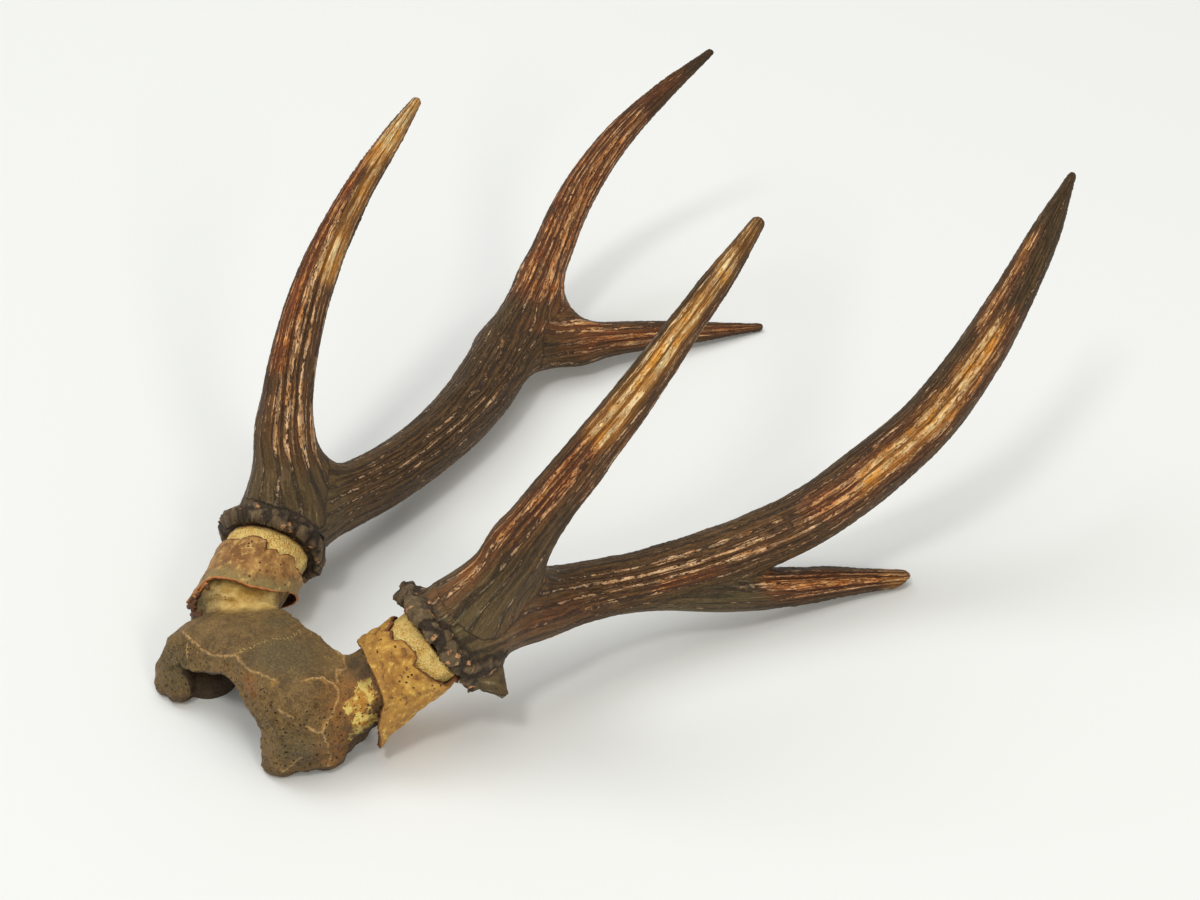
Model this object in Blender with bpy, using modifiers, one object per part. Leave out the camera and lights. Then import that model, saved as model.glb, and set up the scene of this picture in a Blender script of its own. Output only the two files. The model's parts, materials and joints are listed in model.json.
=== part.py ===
"""A pair of three-point deer antlers, still grown on the sawn-off top of the skull.

The skull plate is the roof of the braincase with its two pedicles. A dried sleeve of hide sits round each
pedicle. Each antler is split at its main forks into beam, brow tine and rear tine, and its burr is part of
the beam. The object lies on the two lobes of the plate and on the tips of the rear tines.

Frame: Y from the skull to the antler tips, X to the right of that, Z up from the surface it lies on, and the
origin under the middle of the whole object. The tables below are in millimetres from a point under the front
of the skull roof, and ORIGIN is the frame's origin seen from there. The centre lines give X, Y, Z and radius.
"""

import math

import bmesh
import bpy
import numpy as np
from mathutils import Matrix, Vector, noise

MM = 0.001
FIT_GAP = 0.3 * MM
ORIGIN = Vector((-8.8, 179.2, 0)) * MM

# Antler centre lines, from the burr or the fork to the tip: X, Y, Z, radius
LEFT_BEAM = [
    (-59.5, 38.5, 28.5, 18), (-63, 45, 30.5, 18.5), (-66, 58, 32, 17), (-66, 79, 29.5, 15), (-69, 111, 24.5, 14),
    (-76, 146, 21.5, 14), (-87, 180, 20.5, 15), (-102, 212, 21.5, 15.5), (-118.5, 244, 28, 12.4),
    (-132, 273, 43, 10.6), (-141, 300, 64, 9.1), (-143, 329, 85, 7.3), (-139.5, 359, 103, 5.2),
    (-132.5, 389, 120, 1.6),
]
LEFT_BROW = [
    (-64, 54, 36, 18), (-71.5, 59, 50, 16), (-80, 66, 65, 13), (-93, 82, 86, 10.9), (-104.5, 101, 106, 9.5),
    (-113.5, 123, 126, 8), (-120, 147, 144, 6.4), (-124, 172, 161, 4.6), (-127, 190.5, 173, 1.8),
]
LEFT_REAR = [
    (-112, 222, 22, 13.5), (-99, 250, 17.5, 10.8), (-89, 277, 13.8, 8.6), (-78, 303, 10, 6.6), (-66, 328, 6.2, 4.3),
    (-55.5, 353, 2.2, 1.9),
]
RIGHT_BEAM = [
    (51.5, 42, 44, 18), (53.5, 50, 47.5, 18.5), (57.5, 62, 48.5, 17), (61.5, 82, 44.5, 14.3), (67, 116, 37.5, 12.5),
    (77.5, 150, 34.5, 12.4), (89.5, 183, 36, 12.8), (101.5, 216, 42.8, 12.8), (110, 247, 56, 13),
    (118.3, 276, 75, 12.3), (121, 303, 97.5, 11), (117, 332, 117.5, 9), (109, 362, 134.5, 6.5),
    (98.5, 392.5, 147.5, 1.8),
]
RIGHT_BROW = [
    (55.5, 56, 48, 17.5), (60.5, 62, 63, 15.8), (66.5, 71, 79, 12.8), (74, 86, 104, 10.9), (80.2, 106, 127, 9.7),
    (84.2, 128, 148, 8.6), (85, 152, 167.5, 6.9), (84, 178, 185, 5), (83, 198.5, 200.5, 1.9),
]
RIGHT_REAR = [
    (79, 147, 33, 11), (91, 168, 24, 10.6), (97.2, 182, 19.5, 9.8), (105, 200, 14.8, 8.6), (112.5, 219, 10.6, 7.3),
    (120.7, 237, 7, 5.6), (130.5, 255, 4, 3.8),
]

RING_STEP = 10 * MM
TIP_ROUNDING = 2 * MM
PROFILE_RIDGES = {"beam": 10, "tine": 8}
RIDGE_DEPTH = 0.035
LUMP_HEIGHT = 0.5 * MM
LUMP_SIZE = 14 * MM

# The burr: a knobbly ring round the base of the beam
BURR_RADIUS = 24.5 * MM
BURR_THICKNESS = 7 * MM
BURR_RINGS = [0, 1.5, 4, 6.5, 9, 12, 16]
BURR_KNOBS = 7
BURR_KNOB_HEIGHT = 1.5 * MM
SEAT_DEPTH = 1 * MM

# Single spurs on the burrs: turn in degrees, distance from the seat and height in millimetres
LEFT_SPURS = [(40, 3, 3)]
RIGHT_SPURS = [(40, 9, 15), (195, 5, 4)]
SPUR_TURN = 14
SPUR_SPREAD = 3 * MM

# Pedicles, from inside the plate to the burr: X, Y, Z, radius
LEFT_PEDICLE = [(-32, -9, 24, 9), (-38, -1, 20, 17.5), (-46.5, 13, 22.5, 17.2), (-59.5, 38.5, 28.5, 19)]
RIGHT_PEDICLE = [(27, -11, 28, 9), (34, 0, 25, 16.5), (42, 17, 29, 16.2), (51.8, 42, 43.2, 17.8)]

# Outer face of the skull roof: arches from the left lobe to the right one, from the front rim to the back
ROOF_ARCHES = [
    [(-42, -36, 2), (-44, -36, 9), (-36, -33, 18), (-22, -30, 23), (-1, -28, 34), (11, -28.5, 28),
     (21, -29, 22), (25, -31, 12), (25, -32, 2)],
    [(-46, -33, 2), (-51, -31, 12), (-46, -26, 27), (-26, -22, 35.5), (0, -21.5, 42), (21, -23, 43),
     (34, -25, 36), (38, -28, 20), (34, -30, 2)],
    [(-45, -12, 4), (-50, -10, 15), (-44, -7, 29), (-23, -4, 38.5), (0, -4, 43), (21, -5, 44),
     (40, -8, 40), (49, -12, 24), (46, -12, 3)],
    [(-38, 8, 9), (-40, 11, 17), (-34, 14, 29), (-17, 14, 36), (1, 13, 40), (18, 14, 38),
     (33, 15, 35), (47, 12, 19), (46, 9, 5)],
]
ROOF_ACROSS = 27
ROOF_ALONG = 9
ROOF_THICKNESS = 5.5 * MM

# Thick lobes under both sides of the roof: centre and half sizes
LOBES = [
    ((-42, -27, 6), (10.5, 8.5, 9)),
    ((30, -24, 6), (8.5, 8, 9)),
    ((41, -8, 8), (7.5, 10, 10)),
]
SKULL_VOXEL = 2.4 * MM
SKULL_TRIANGLES = 2000

# Hide sleeves. Each edge is slanted: mean distance down from the burr, slant, and turn of its lowest point
SLEEVES = {
    "left_pedicle_skin": (LEFT_PEDICLE, (8.5, 1.5, 120), (29.5, 5, 130), 11),
    "right_pedicle_skin": (RIGHT_PEDICLE, (6.5, 3.5, 135), (32, 5, -45), 23),
}
SLEEVE_CLEARANCE = 1.1 * MM
SLEEVE_THICKNESS = 1.3 * MM
SLEEVE_FLARE = 1.6 * MM
SLEEVE_SIDES = 24
SLEEVE_RINGS = 6
SLEEVE_RAG = 1.6 * MM

COLOURS = {
    "skull_plate": ("#66573c", 0.75),
    "skin": ("#94703f", 0.8),
    "antler": ("#463a30", 0.6),
}


def clear_scene():
    """Remove every object that the file starts with."""
    for item in list(bpy.data.objects):
        bpy.data.objects.remove(item, do_unlink=True)


def linear(channel):
    """One sRGB channel as a linear value."""
    return channel / 12.92 if channel <= 0.04045 else ((channel + 0.055) / 1.055) ** 2.4


def material(name):
    """A plain Principled material from the colour table."""
    if name in bpy.data.materials:
        return bpy.data.materials[name]
    hexcode, roughness = COLOURS[name]
    rgb = [linear(int(hexcode[i:i + 2], 16) / 255) for i in (1, 3, 5)]
    mat = bpy.data.materials.new(name)
    mat.use_nodes = True
    shader = mat.node_tree.nodes["Principled BSDF"]
    shader.inputs["Base Color"].default_value = (*rgb, 1)
    shader.inputs["Roughness"].default_value = roughness
    return mat


def smooth_path(points, samples=24):
    """A dense curve through the points (Catmull-Rom), as rows of X, Y, Z and radius in metres."""
    rows = np.array(points, float) * MM
    ends = np.vstack([2 * rows[0] - rows[1], rows, 2 * rows[-1] - rows[-2]])
    dense = []
    for i in range(1, len(ends) - 2):
        before, start, stop, after = ends[i - 1:i + 3]
        for t in np.linspace(0, 1, samples, endpoint=False):
            dense.append(0.5 * (2 * start + (stop - before) * t
                                + (2 * before - 5 * start + 4 * stop - after) * t ** 2
                                + (3 * start - before - 3 * stop + after) * t ** 3))
    dense.append(rows[-1])
    return np.array(dense)


def lengths(path):
    """Distance along the path at each of its rows."""
    return np.r_[0, np.cumsum(np.linalg.norm(np.diff(path[:, :3], axis=0), axis=1))]


def at_distances(path, distances):
    """The path's rows at the given distances from its start."""
    along = lengths(path)
    return np.stack([np.interp(distances, along, path[:, k]) for k in range(4)], axis=1)


def even_distances(path, step, first=()):
    """Distances every step along the path, after the first ones given."""
    total = lengths(path)[-1]
    start = first[-1] if len(first) else 0
    count = max(2, round((total - start) / step))
    return np.r_[list(first)[:-1], np.linspace(start, total, count + 1)]


def ridged_profile(name, ridges, depth):
    """A closed unit outline with ridges, used to bevel a curve."""
    data = bpy.data.curves.new(name, "CURVE")
    data.dimensions = "2D"
    sides = 2 * ridges
    spline = data.splines.new("POLY")
    spline.points.add(sides - 1)
    for k, point in enumerate(spline.points):
        angle = 2 * math.pi * k / sides
        reach = 1 + depth * (1 if k % 2 else -1)
        point.co = (reach * math.cos(angle), reach * math.sin(angle), 0, 1)
    spline.use_cyclic_u = True
    outline = bpy.data.objects.new(name, data)
    bpy.context.scene.collection.objects.link(outline)
    outline.hide_render = True
    outline.display_type = "WIRE"
    return outline


def tube(name, rows, ridges, depth=RIDGE_DEPTH):
    """A closed mesh tube through rows of X, Y, Z and radius, made from a bevelled curve."""
    outline = ridged_profile(name + "_outline", ridges, depth)
    data = bpy.data.curves.new(name + "_path", "CURVE")
    data.dimensions = "3D"
    data.bevel_mode = "OBJECT"
    data.bevel_object = outline
    data.use_fill_caps = True
    spline = data.splines.new("POLY")
    spline.points.add(len(rows) - 1)
    for point, (x, y, z, radius) in zip(spline.points, rows):
        point.co = (x, y, z, 1)
        point.radius = radius
    guide = bpy.data.objects.new(name + "_path", data)
    bpy.context.scene.collection.objects.link(guide)
    mesh = evaluated_mesh(guide)
    bpy.data.objects.remove(guide, do_unlink=True)
    bpy.data.objects.remove(outline, do_unlink=True)
    return new_object(name, weld(mesh))


def evaluated_mesh(item):
    """The item's mesh with its modifiers or bevel applied."""
    graph = bpy.context.evaluated_depsgraph_get()
    return bpy.data.meshes.new_from_object(item.evaluated_get(graph))


def weld(mesh):
    """Join the loose caps to the mesh and point every face outwards."""
    work = bmesh.new()
    work.from_mesh(mesh)
    bmesh.ops.remove_doubles(work, verts=work.verts, dist=0.01 * MM)
    bmesh.ops.recalc_face_normals(work, faces=work.faces)
    bmesh.ops.triangulate(work, faces=work.faces)
    work.to_mesh(mesh)
    work.free()
    return mesh


def new_object(name, mesh):
    """A linked object that holds the mesh."""
    item = bpy.data.objects.new(name, mesh)
    bpy.context.scene.collection.objects.link(item)
    return item


def bake_modifiers(item):
    """Replace the item's mesh by the one its modifiers give."""
    mesh = evaluated_mesh(item)
    item.modifiers.clear()
    item.data = mesh
    return item


def lump(item, height, size):
    """Push the vertices in and out along their normals by smooth noise."""
    for vertex in item.data.vertices:
        vertex.co += vertex.normal * height * noise.noise(vertex.co / size)


def burr_seat(points):
    """Where the burr sits on its pedicle, and the direction that the beam leaves it."""
    path = smooth_path(points)
    start = Vector(path[0, :3])
    axis = (Vector(path[12, :3]) - start).normalized()
    return start + axis * SEAT_DEPTH, axis


def shape_burr(item, points, spurs):
    """Raise the knobs and spurs of the burr on the first rings of the beam."""
    centre, axis = burr_seat(points)
    side = axis.cross(Vector((0, 0, 1))).normalized()
    for vertex in item.data.vertices:
        offset = vertex.co - centre
        height = offset.dot(axis)
        radial = offset - axis * height
        if not 0.5 * BURR_RADIUS < offset.length < 1.5 * BURR_RADIUS or radial.length < 0.5 * BURR_RADIUS:
            continue
        angle = math.atan2(radial.dot(axis.cross(side)), radial.dot(side))
        rise = 0.0
        if height < BURR_THICKNESS:
            rise = BURR_KNOB_HEIGHT * (math.sin(BURR_KNOBS * angle) + 0.6 * noise.noise(vertex.co / (5 * MM)))
        for turn, distance, spur in spurs:
            off_turn = math.remainder(angle - math.radians(turn), 2 * math.pi) / math.radians(SPUR_TURN)
            off_height = (height - distance * MM) / SPUR_SPREAD
            rise += spur * MM * math.exp(-(off_turn ** 2 + off_height ** 2) / 2)
        vertex.co += radial.normalized() * rise


def burr_swell(distance):
    """How far the burr stands out over the beam at a distance from its base, from 0 to 1."""
    inside = max(0.0, 1 - ((distance - BURR_THICKNESS / 2) / (BURR_THICKNESS / 2 + 1 * MM)) ** 2)
    return math.sqrt(inside)


def make_beam(name, points, spurs, inflate=0.0):
    """One main beam with its burr."""
    path = smooth_path(points)
    rows = at_distances(path, even_distances(path, RING_STEP, [d * MM for d in BURR_RINGS]))
    travelled = lengths(rows)
    for row, distance in zip(rows, travelled):
        row[3] += (BURR_RADIUS - row[3]) * burr_swell(distance)
        row[3] += inflate
    beam = tube(name, round_tip(rows), PROFILE_RIDGES["beam"])
    shape_burr(beam, points, spurs)
    lump(beam, LUMP_HEIGHT, LUMP_SIZE)
    seat, axis = burr_seat(points)
    cut_flat(beam, seat - axis * inflate, -axis)
    return beam


def round_tip(rows):
    """Close the last ring to a small rounded tip."""
    direction = rows[-1, :3] - rows[-2, :3]
    direction /= np.linalg.norm(direction)
    tip = rows[-1].copy()
    tip[:3] += direction * min(TIP_ROUNDING, rows[-1, 3]) * 0.7
    tip[3] *= 0.5
    return np.vstack([rows, tip])


def make_tine(name, points, beam_points, spurs):
    """One tine, cut where it leaves the beam so that it meets the beam with a small gap."""
    path = smooth_path(points)
    rows = at_distances(path, even_distances(path, RING_STEP))
    tine = tube(name, round_tip(rows), PROFILE_RIDGES["tine"])
    lump(tine, LUMP_HEIGHT, LUMP_SIZE)
    cutter = make_beam(name + "_cutter", beam_points, spurs, inflate=FIT_GAP * 1.4)
    cut = tine.modifiers.new("fork", "BOOLEAN")
    cut.operation = "DIFFERENCE"
    cut.solver = "EXACT"
    cut.object = cutter
    bake_modifiers(tine)
    bpy.data.objects.remove(cutter, do_unlink=True)
    keep_largest(tine)
    return tine


def keep_largest(item):
    """Drop the small bits that a cut leaves on the far side."""
    work = bmesh.new()
    work.from_mesh(item.data)
    bmesh.ops.remove_doubles(work, verts=work.verts, dist=0.02 * MM)
    islands = []
    left = set(work.verts)
    while left:
        stack = [left.pop()]
        island = set(stack)
        while stack:
            for edge in stack.pop().link_edges:
                for vertex in edge.verts:
                    if vertex in left:
                        left.discard(vertex)
                        island.add(vertex)
                        stack.append(vertex)
        islands.append(island)
    islands.sort(key=len)
    for island in islands[:-1]:
        bmesh.ops.delete(work, geom=list(island), context="VERTS")
    bmesh.ops.triangulate(work, faces=work.faces)
    work.to_mesh(item.data)
    work.free()


def roof_sheet():
    """The outer face of the skull roof, a smooth sheet through the arches, made solid."""
    arches = [smooth_path([(*p, 0) for p in arch])[:, :3] for arch in ROOF_ARCHES]
    arches = [at_distances(np.c_[a, np.zeros(len(a))],
                           np.linspace(0, lengths(a)[-1], ROOF_ACROSS))[:, :3] for a in arches]
    mesh = bpy.data.meshes.new("roof")
    work = bmesh.new()
    bmesh.ops.create_grid(work, x_segments=ROOF_ACROSS - 1, y_segments=ROOF_ALONG - 1, size=1)
    lines = [smooth_path([(*(a[across] / MM), 0) for a in arches]) for across in range(ROOF_ACROSS)]
    for vertex in work.verts:
        line = lines[round((vertex.co.x + 1) / 2 * (ROOF_ACROSS - 1))]
        vertex.co = at_distances(line, [lengths(line)[-1] * (vertex.co.y + 1) / 2])[0, :3]
    work.to_mesh(mesh)
    work.free()
    sheet = new_object("roof", mesh)
    shell = sheet.modifiers.new("thickness", "SOLIDIFY")
    shell.thickness = ROOF_THICKNESS
    shell.offset = -1
    return bake_modifiers(sheet)


def ellipsoid(name, centre, half_sizes):
    """A ball scaled to its half sizes."""
    mesh = bpy.data.meshes.new(name)
    work = bmesh.new()
    bmesh.ops.create_uvsphere(work, u_segments=20, v_segments=12, radius=1)
    for vertex in work.verts:
        vertex.co = [(c + s * v) * MM for c, s, v in zip(centre, half_sizes, vertex.co)]
    work.to_mesh(mesh)
    work.free()
    return new_object(name, mesh)


def join(name, items):
    """One object with the meshes of all the items."""
    work = bmesh.new()
    for item in items:
        work.from_mesh(item.data)
        bpy.data.objects.remove(item, do_unlink=True)
    mesh = bpy.data.meshes.new(name)
    work.to_mesh(mesh)
    work.free()
    return new_object(name, mesh)


def cut_flat(item, point, normal):
    """Cut the item by a plane, keep the side behind it and close the cut with a flat face."""
    work = bmesh.new()
    work.from_mesh(item.data)
    geometry = work.verts[:] + work.edges[:] + work.faces[:]
    cut = bmesh.ops.bisect_plane(work, geom=geometry, plane_co=point, plane_no=normal, clear_outer=True,
                                 dist=0.001 * MM)
    rim = [part for part in cut["geom_cut"] if isinstance(part, bmesh.types.BMEdge)]
    bmesh.ops.holes_fill(work, edges=rim, sides=0)
    bmesh.ops.triangulate(work, faces=work.faces)
    bmesh.ops.recalc_face_normals(work, faces=work.faces)
    work.to_mesh(item.data)
    work.free()


def make_skull():
    """The skull roof and its pedicles as one closed bone."""
    pieces = [roof_sheet()]
    for name, points in (("left_root", LEFT_PEDICLE), ("right_root", RIGHT_PEDICLE)):
        path = smooth_path(points)
        rows = at_distances(path, even_distances(path, RING_STEP / 2))
        past_end = rows[-1].copy()
        past_end[:3] += rows[-1, :3] - rows[-2, :3]
        pieces.append(tube(name, np.vstack([rows, past_end]), 10, depth=0.0))
    pieces += [ellipsoid(f"lobe_{i}", *lobe) for i, lobe in enumerate(LOBES)]
    skull = join("skull_plate", pieces)
    remesh = skull.modifiers.new("one_skin", "REMESH")
    remesh.mode = "VOXEL"
    remesh.voxel_size = SKULL_VOXEL
    soften = skull.modifiers.new("soften", "SMOOTH")
    soften.factor = 0.5
    soften.iterations = 3
    bake_modifiers(skull)
    lump(skull, 0.8 * MM, 9 * MM)
    fewer = skull.modifiers.new("fewer", "DECIMATE")
    fewer.ratio = min(1.0, SKULL_TRIANGLES / (2 * len(skull.data.polygons)))
    bake_modifiers(skull)
    for beam in (LEFT_BEAM, RIGHT_BEAM):
        seat, axis = burr_seat(beam)
        cut_flat(skull, seat - axis * FIT_GAP, axis)
    cut_flat(skull, (0, 0, 0), (0, 0, -1))
    return skull


def make_sleeve(name, points, first, last, seed):
    """A dried sleeve of hide round a pedicle, with ragged edges."""
    path = smooth_path(points)
    total = lengths(path)[-1]
    mesh = bpy.data.meshes.new(name)
    work = bmesh.new()
    bmesh.ops.create_grid(work, x_segments=SLEEVE_SIDES - 1, y_segments=SLEEVE_RINGS - 1, size=1)
    for vertex in work.verts:
        turn = (vertex.co.x + 1) / 2
        down = (vertex.co.y + 1) / 2
        angle = 2 * math.pi * turn
        rag = noise.noise(Vector((2.2 * math.cos(angle), 2.2 * math.sin(angle), seed + 5 * down)))
        start, stop = (mean + slant * math.cos(angle - math.radians(turned)) for mean, slant, turned in (first, last))
        distance = total - (start + (stop - start) * down) * MM + SLEEVE_RAG * rag * (2 * down - 1)
        centre, before = at_distances(path, [distance, distance - MM])
        axis = Vector(centre[:3] - before[:3]).normalized()
        side = axis.cross(Vector((0, 0, 1))).normalized()
        up = side.cross(axis)
        reach = float(centre[3]) + SLEEVE_CLEARANCE + SLEEVE_FLARE * down ** 3
        reach += 0.5 * MM * noise.noise(Vector((3 * math.cos(angle), 3 * math.sin(angle), seed + 9 * down)))
        vertex.co = Vector(centre[:3]) + reach * (math.cos(angle) * side + math.sin(angle) * up)
    bmesh.ops.remove_doubles(work, verts=work.verts, dist=0.01 * MM)
    bmesh.ops.recalc_face_normals(work, faces=work.faces)
    work.to_mesh(mesh)
    work.free()
    sleeve = new_object(name, mesh)
    shell = sleeve.modifiers.new("thickness", "SOLIDIFY")
    shell.thickness = SLEEVE_THICKNESS
    shell.offset = 1
    return bake_modifiers(sleeve)


def finish(item, look, collection):
    """Move the item to the object's frame and give it its material and its collection."""
    item.data.transform(Matrix.Translation(-ORIGIN))
    item.data.materials.clear()
    item.data.materials.append(material(look))
    for holder in list(item.users_collection):
        holder.objects.unlink(item)
    collection.objects.link(item)
    item.data.shade_smooth()
    item.data.set_sharp_from_angle(angle=math.radians(50))


def main():
    clear_scene()
    antlers = bpy.data.collections.new("deer_antlers")
    bpy.context.scene.collection.children.link(antlers)
    finish(make_skull(), "skull_plate", antlers)
    for name, (points, first, last, seed) in SLEEVES.items():
        finish(make_sleeve(name, points, first, last, seed), "skin", antlers)
    sides = {
        "left": (LEFT_BEAM, LEFT_SPURS, LEFT_BROW, LEFT_REAR),
        "right": (RIGHT_BEAM, RIGHT_SPURS, RIGHT_BROW, RIGHT_REAR),
    }
    for side, (beam, spurs, brow, rear) in sides.items():
        finish(make_beam(f"{side}_beam", beam, spurs), "antler", antlers)
        finish(make_tine(f"{side}_brow_tine", brow, beam, spurs), "antler", antlers)
        finish(make_tine(f"{side}_rear_tine", rear, beam, spurs), "antler", antlers)


main()
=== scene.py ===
"""Looks for a pair of three-point deer antlers on the sawn-off top of the skull.

Each antler is one seamless bone here, though the solids split it at its forks. Its branches are tubes that
are merged to one skin, drawn on to a smooth union of the branches, and then carved with gutters, ridges and
burr knobs. Every point also carries its place round and along its branch, and the worn streaks are drawn from
that. The skull plate and the two sleeves of dried hide are rebuilt the same way from the solids' own sizes.
"""

import json
import math

import bpy
import numpy as np
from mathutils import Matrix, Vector, noise
from mathutils.bvhtree import BVHTree

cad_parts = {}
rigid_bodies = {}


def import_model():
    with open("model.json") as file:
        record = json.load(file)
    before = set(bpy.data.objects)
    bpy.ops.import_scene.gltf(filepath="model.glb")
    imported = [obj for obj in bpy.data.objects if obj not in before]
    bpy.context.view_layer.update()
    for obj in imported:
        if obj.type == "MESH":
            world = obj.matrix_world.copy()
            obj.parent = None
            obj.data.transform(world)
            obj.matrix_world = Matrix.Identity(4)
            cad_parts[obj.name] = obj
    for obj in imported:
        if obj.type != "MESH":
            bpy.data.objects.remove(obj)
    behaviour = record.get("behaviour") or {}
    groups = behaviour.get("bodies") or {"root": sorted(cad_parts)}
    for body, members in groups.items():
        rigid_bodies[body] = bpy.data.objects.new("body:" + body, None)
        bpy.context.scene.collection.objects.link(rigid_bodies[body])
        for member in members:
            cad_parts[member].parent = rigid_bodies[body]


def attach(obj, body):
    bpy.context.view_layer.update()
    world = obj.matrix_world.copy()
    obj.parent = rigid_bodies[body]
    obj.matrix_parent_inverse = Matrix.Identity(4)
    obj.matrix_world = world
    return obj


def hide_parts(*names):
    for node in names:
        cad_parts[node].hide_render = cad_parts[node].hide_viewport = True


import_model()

bl_info = {
    "name": "Deer antlers",
    "version": (1, 0, 0),
    "blender": (4, 5, 0),
    "location": "3D View > Sidebar > Antlers",
    "description": "Dresses a pair of deer antlers on their skull plate",
    "category": "Object",
}

MM = 0.001
# The frame's origin in millimetres from the point under the skull roof that most tables are measured from
ORIGIN = np.array([-8.8, 179.2, 0.0])

# Centre lines from the burr or the fork to the tip: X, Y, Z and radius in millimetres
BRANCHES = {
    "left": {
        "beam": [
            (-59.5, 38.5, 28.5, 18), (-63, 45, 30.5, 18.5), (-66, 58, 32, 17), (-66, 79, 29.5, 15),
            (-69, 111, 24.5, 14), (-76, 146, 21.5, 14), (-87, 180, 20.5, 15), (-102, 212, 21.5, 15.5),
            (-118.5, 244, 28, 12.4), (-132, 273, 43, 10.6), (-141, 300, 64, 9.1), (-143, 329, 85, 7.3),
            (-139.5, 359, 103, 5.0), (-132.5, 389, 120, 1.8)],
        "brow": [
            (-64, 54, 36, 15), (-71.5, 59, 50, 14.5), (-80, 66, 65, 12.6), (-93, 82, 86, 10.9),
            (-104.5, 101, 106, 9.5), (-113.5, 123, 126, 8), (-120, 147, 144, 6.4), (-124, 172, 161, 4.6),
            (-126.6, 188.5, 171.5, 2.4)],
        "rear": [
            (-112, 222, 22, 5), (-99, 250, 17.5, 10.6), (-89, 277, 13.8, 8.6), (-78, 303, 10, 6.6),
            (-66, 328, 6.2, 4.3), (-55.5, 353, 2.2, 1.9)],
    },
    "right": {
        "beam": [
            (51.5, 42, 44, 18), (53.5, 50, 47.5, 18.5), (57.5, 62, 48.5, 17), (61.5, 82, 45.8, 16.2),
            (67, 116, 38, 12.9), (77.5, 150, 34.5, 12.4), (89.5, 183, 36, 12.8), (101.5, 216, 42.8, 12.8),
            (110, 247, 56, 13), (118.3, 276, 75, 12.3), (121, 303, 97.5, 11), (117, 332, 117.5, 9),
            (109, 362, 134.5, 6.5), (98.5, 392.5, 147.5, 1.8)],
        "brow": [
            (55.5, 56, 48, 15), (60.5, 62, 63, 14.5), (66.5, 71, 79, 12.4), (74, 86, 104, 10.9),
            (80.2, 106, 127, 9.7), (84.2, 128, 148, 8.6), (85, 152, 167.5, 6.9), (84, 178, 185, 5.3),
            (83, 197.5, 199.5, 3.0)],
        "rear": [
            (73, 133, 31, 6.5), (91, 168, 24, 10), (97.2, 182, 19.5, 9.7), (105, 200, 14.8, 8.6),
            (112.5, 219, 10.6, 7.3), (120.7, 237, 7, 5.6), (130.5, 255, 4, 4.0)],
    },
}
FORK_BLEND = {"left": {"brow": 17.0, "rear": 17.0}, "right": {"brow": 14.0, "rear": 5.0}}
# Webs that fill the crotches: tine, where they leave the beam and join the tine, and radius
WEB_BLEND = 14.0
WEBS = {"left": [("brow", 47, 40, 5), ("rear", 243, 44, 3)], "right": [("brow", 52, 48, 6)]}
# Tips broken off at a slant: a point in the object's frame and the outward normal of the break
BROKEN_TIPS = {"left": [], "right": [((140.2, 75.9, 2.4), (0.774, 0.126, -0.615))]}

# Places round a branch are told on a circle of this radius, so that ridges draw together towards its tip
RUN_RADIUS = 11.0
# Number of lengthwise ridges round a beam and round a tine, and of the finer ribs between them
RIDGES = (17, 12)
RIBS = (36, 25)
# Places on the tines are told from this far along, so that the material can tell them from the beam
TINE_START = 400.0

# Burr: outer radius, thickness, roundness of its edge, and how softly it runs into the beam
BURR_RADIUS = 25.0
BURR_THICKNESS = 7.0
BURR_ROUNDING = 2.6
BURR_BLEND = 5.0
# Spurs on the burrs: turn in degrees, height over the seat, then pairs of reach from the axis and radius
SPUR_BLEND = 6.0
BURR_SPURS = {
    "left": [(40, 3.5, ((18, 6), (24, 4), (26.5, 2.5)))],
    "right": [
        (40, 9.5, ((12, 12), (23, 9), (30, 6), (35.5, 3.0), (37, 2.2))),
        (212, 5, ((18, 6), (24, 4), (28, 2.2))),
    ],
}

# Worn places: branch, from and to in millimetres along it, turn from its top and half width in degrees, and
# how golden, how rusty and how closely streaked it is there
WORN = {
    "left": [
        ("beam", 40, 210, 45, 70, 0.0, 0.1, 0.34),
        ("beam", 225, 350, 60, 62, 0.2, 1.0, 0.9),
        ("beam", 225, 340, -10, 38, 0.0, 0.9, 0.6),
        ("beam", 340, 380, 30, 60, 0.0, 0.6, 0.25),
        ("brow", 25, 150, 30, 80, 0.2, 0.3, 0.66),
        ("brow", 60, 190, -15, 38, 0.1, 1.0, 0.6),
        ("brow", 110, 205, 60, 38, 0.9, 0.4, 0.9),
        ("brow", 168, 235, 45, 80, 1.0, 0.1, 1.0),
        ("rear", 30, 150, 50, 45, 0.1, 0.8, 0.6),
        ("rear", 5, 60, 5, 30, 0.25, 0.9, 0.7),
    ],
    "right": [
        ("beam", 60, 210, 50, 50, 0.15, 0.25, 0.53),
        ("beam", 20, 75, 75, 38, 0.0, 0.4, 0.1),
        ("beam", 105, 140, 72, 14, 0.2, 0.9, 0.7),
        ("beam", 185, 318, 44, 40, 0.2, 0.9, 0.8),
        ("beam", 212, 278, 46, 26, 0.75, 0.5, 0.95),
        ("beam", 254, 312, 32, 30, 0.7, 0.55, 0.93),
        ("beam", 300, 356, -12, 24, 0.35, 0.8, 0.72),
        ("brow", 5, 75, 12, 26, 0.25, 0.7, 0.62),
        ("brow", 55, 125, 32, 34, 0.15, 0.85, 0.7),
        ("brow", 106, 202, 30, 42, 0.95, 0.15, 1.0),
        ("brow", 185, 225, 20, 80, 0.6, 0.2, 0.6),
        ("brow", 80, 190, 95, 40, 0.2, 0.3, 0.45),
        ("rear", 66, 146, 42, 48, 0.1, 1.0, 0.95),
        ("rear", 128, 146, 20, 180, 0.5, 0.3, 0.6),
    ],
}

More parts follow.
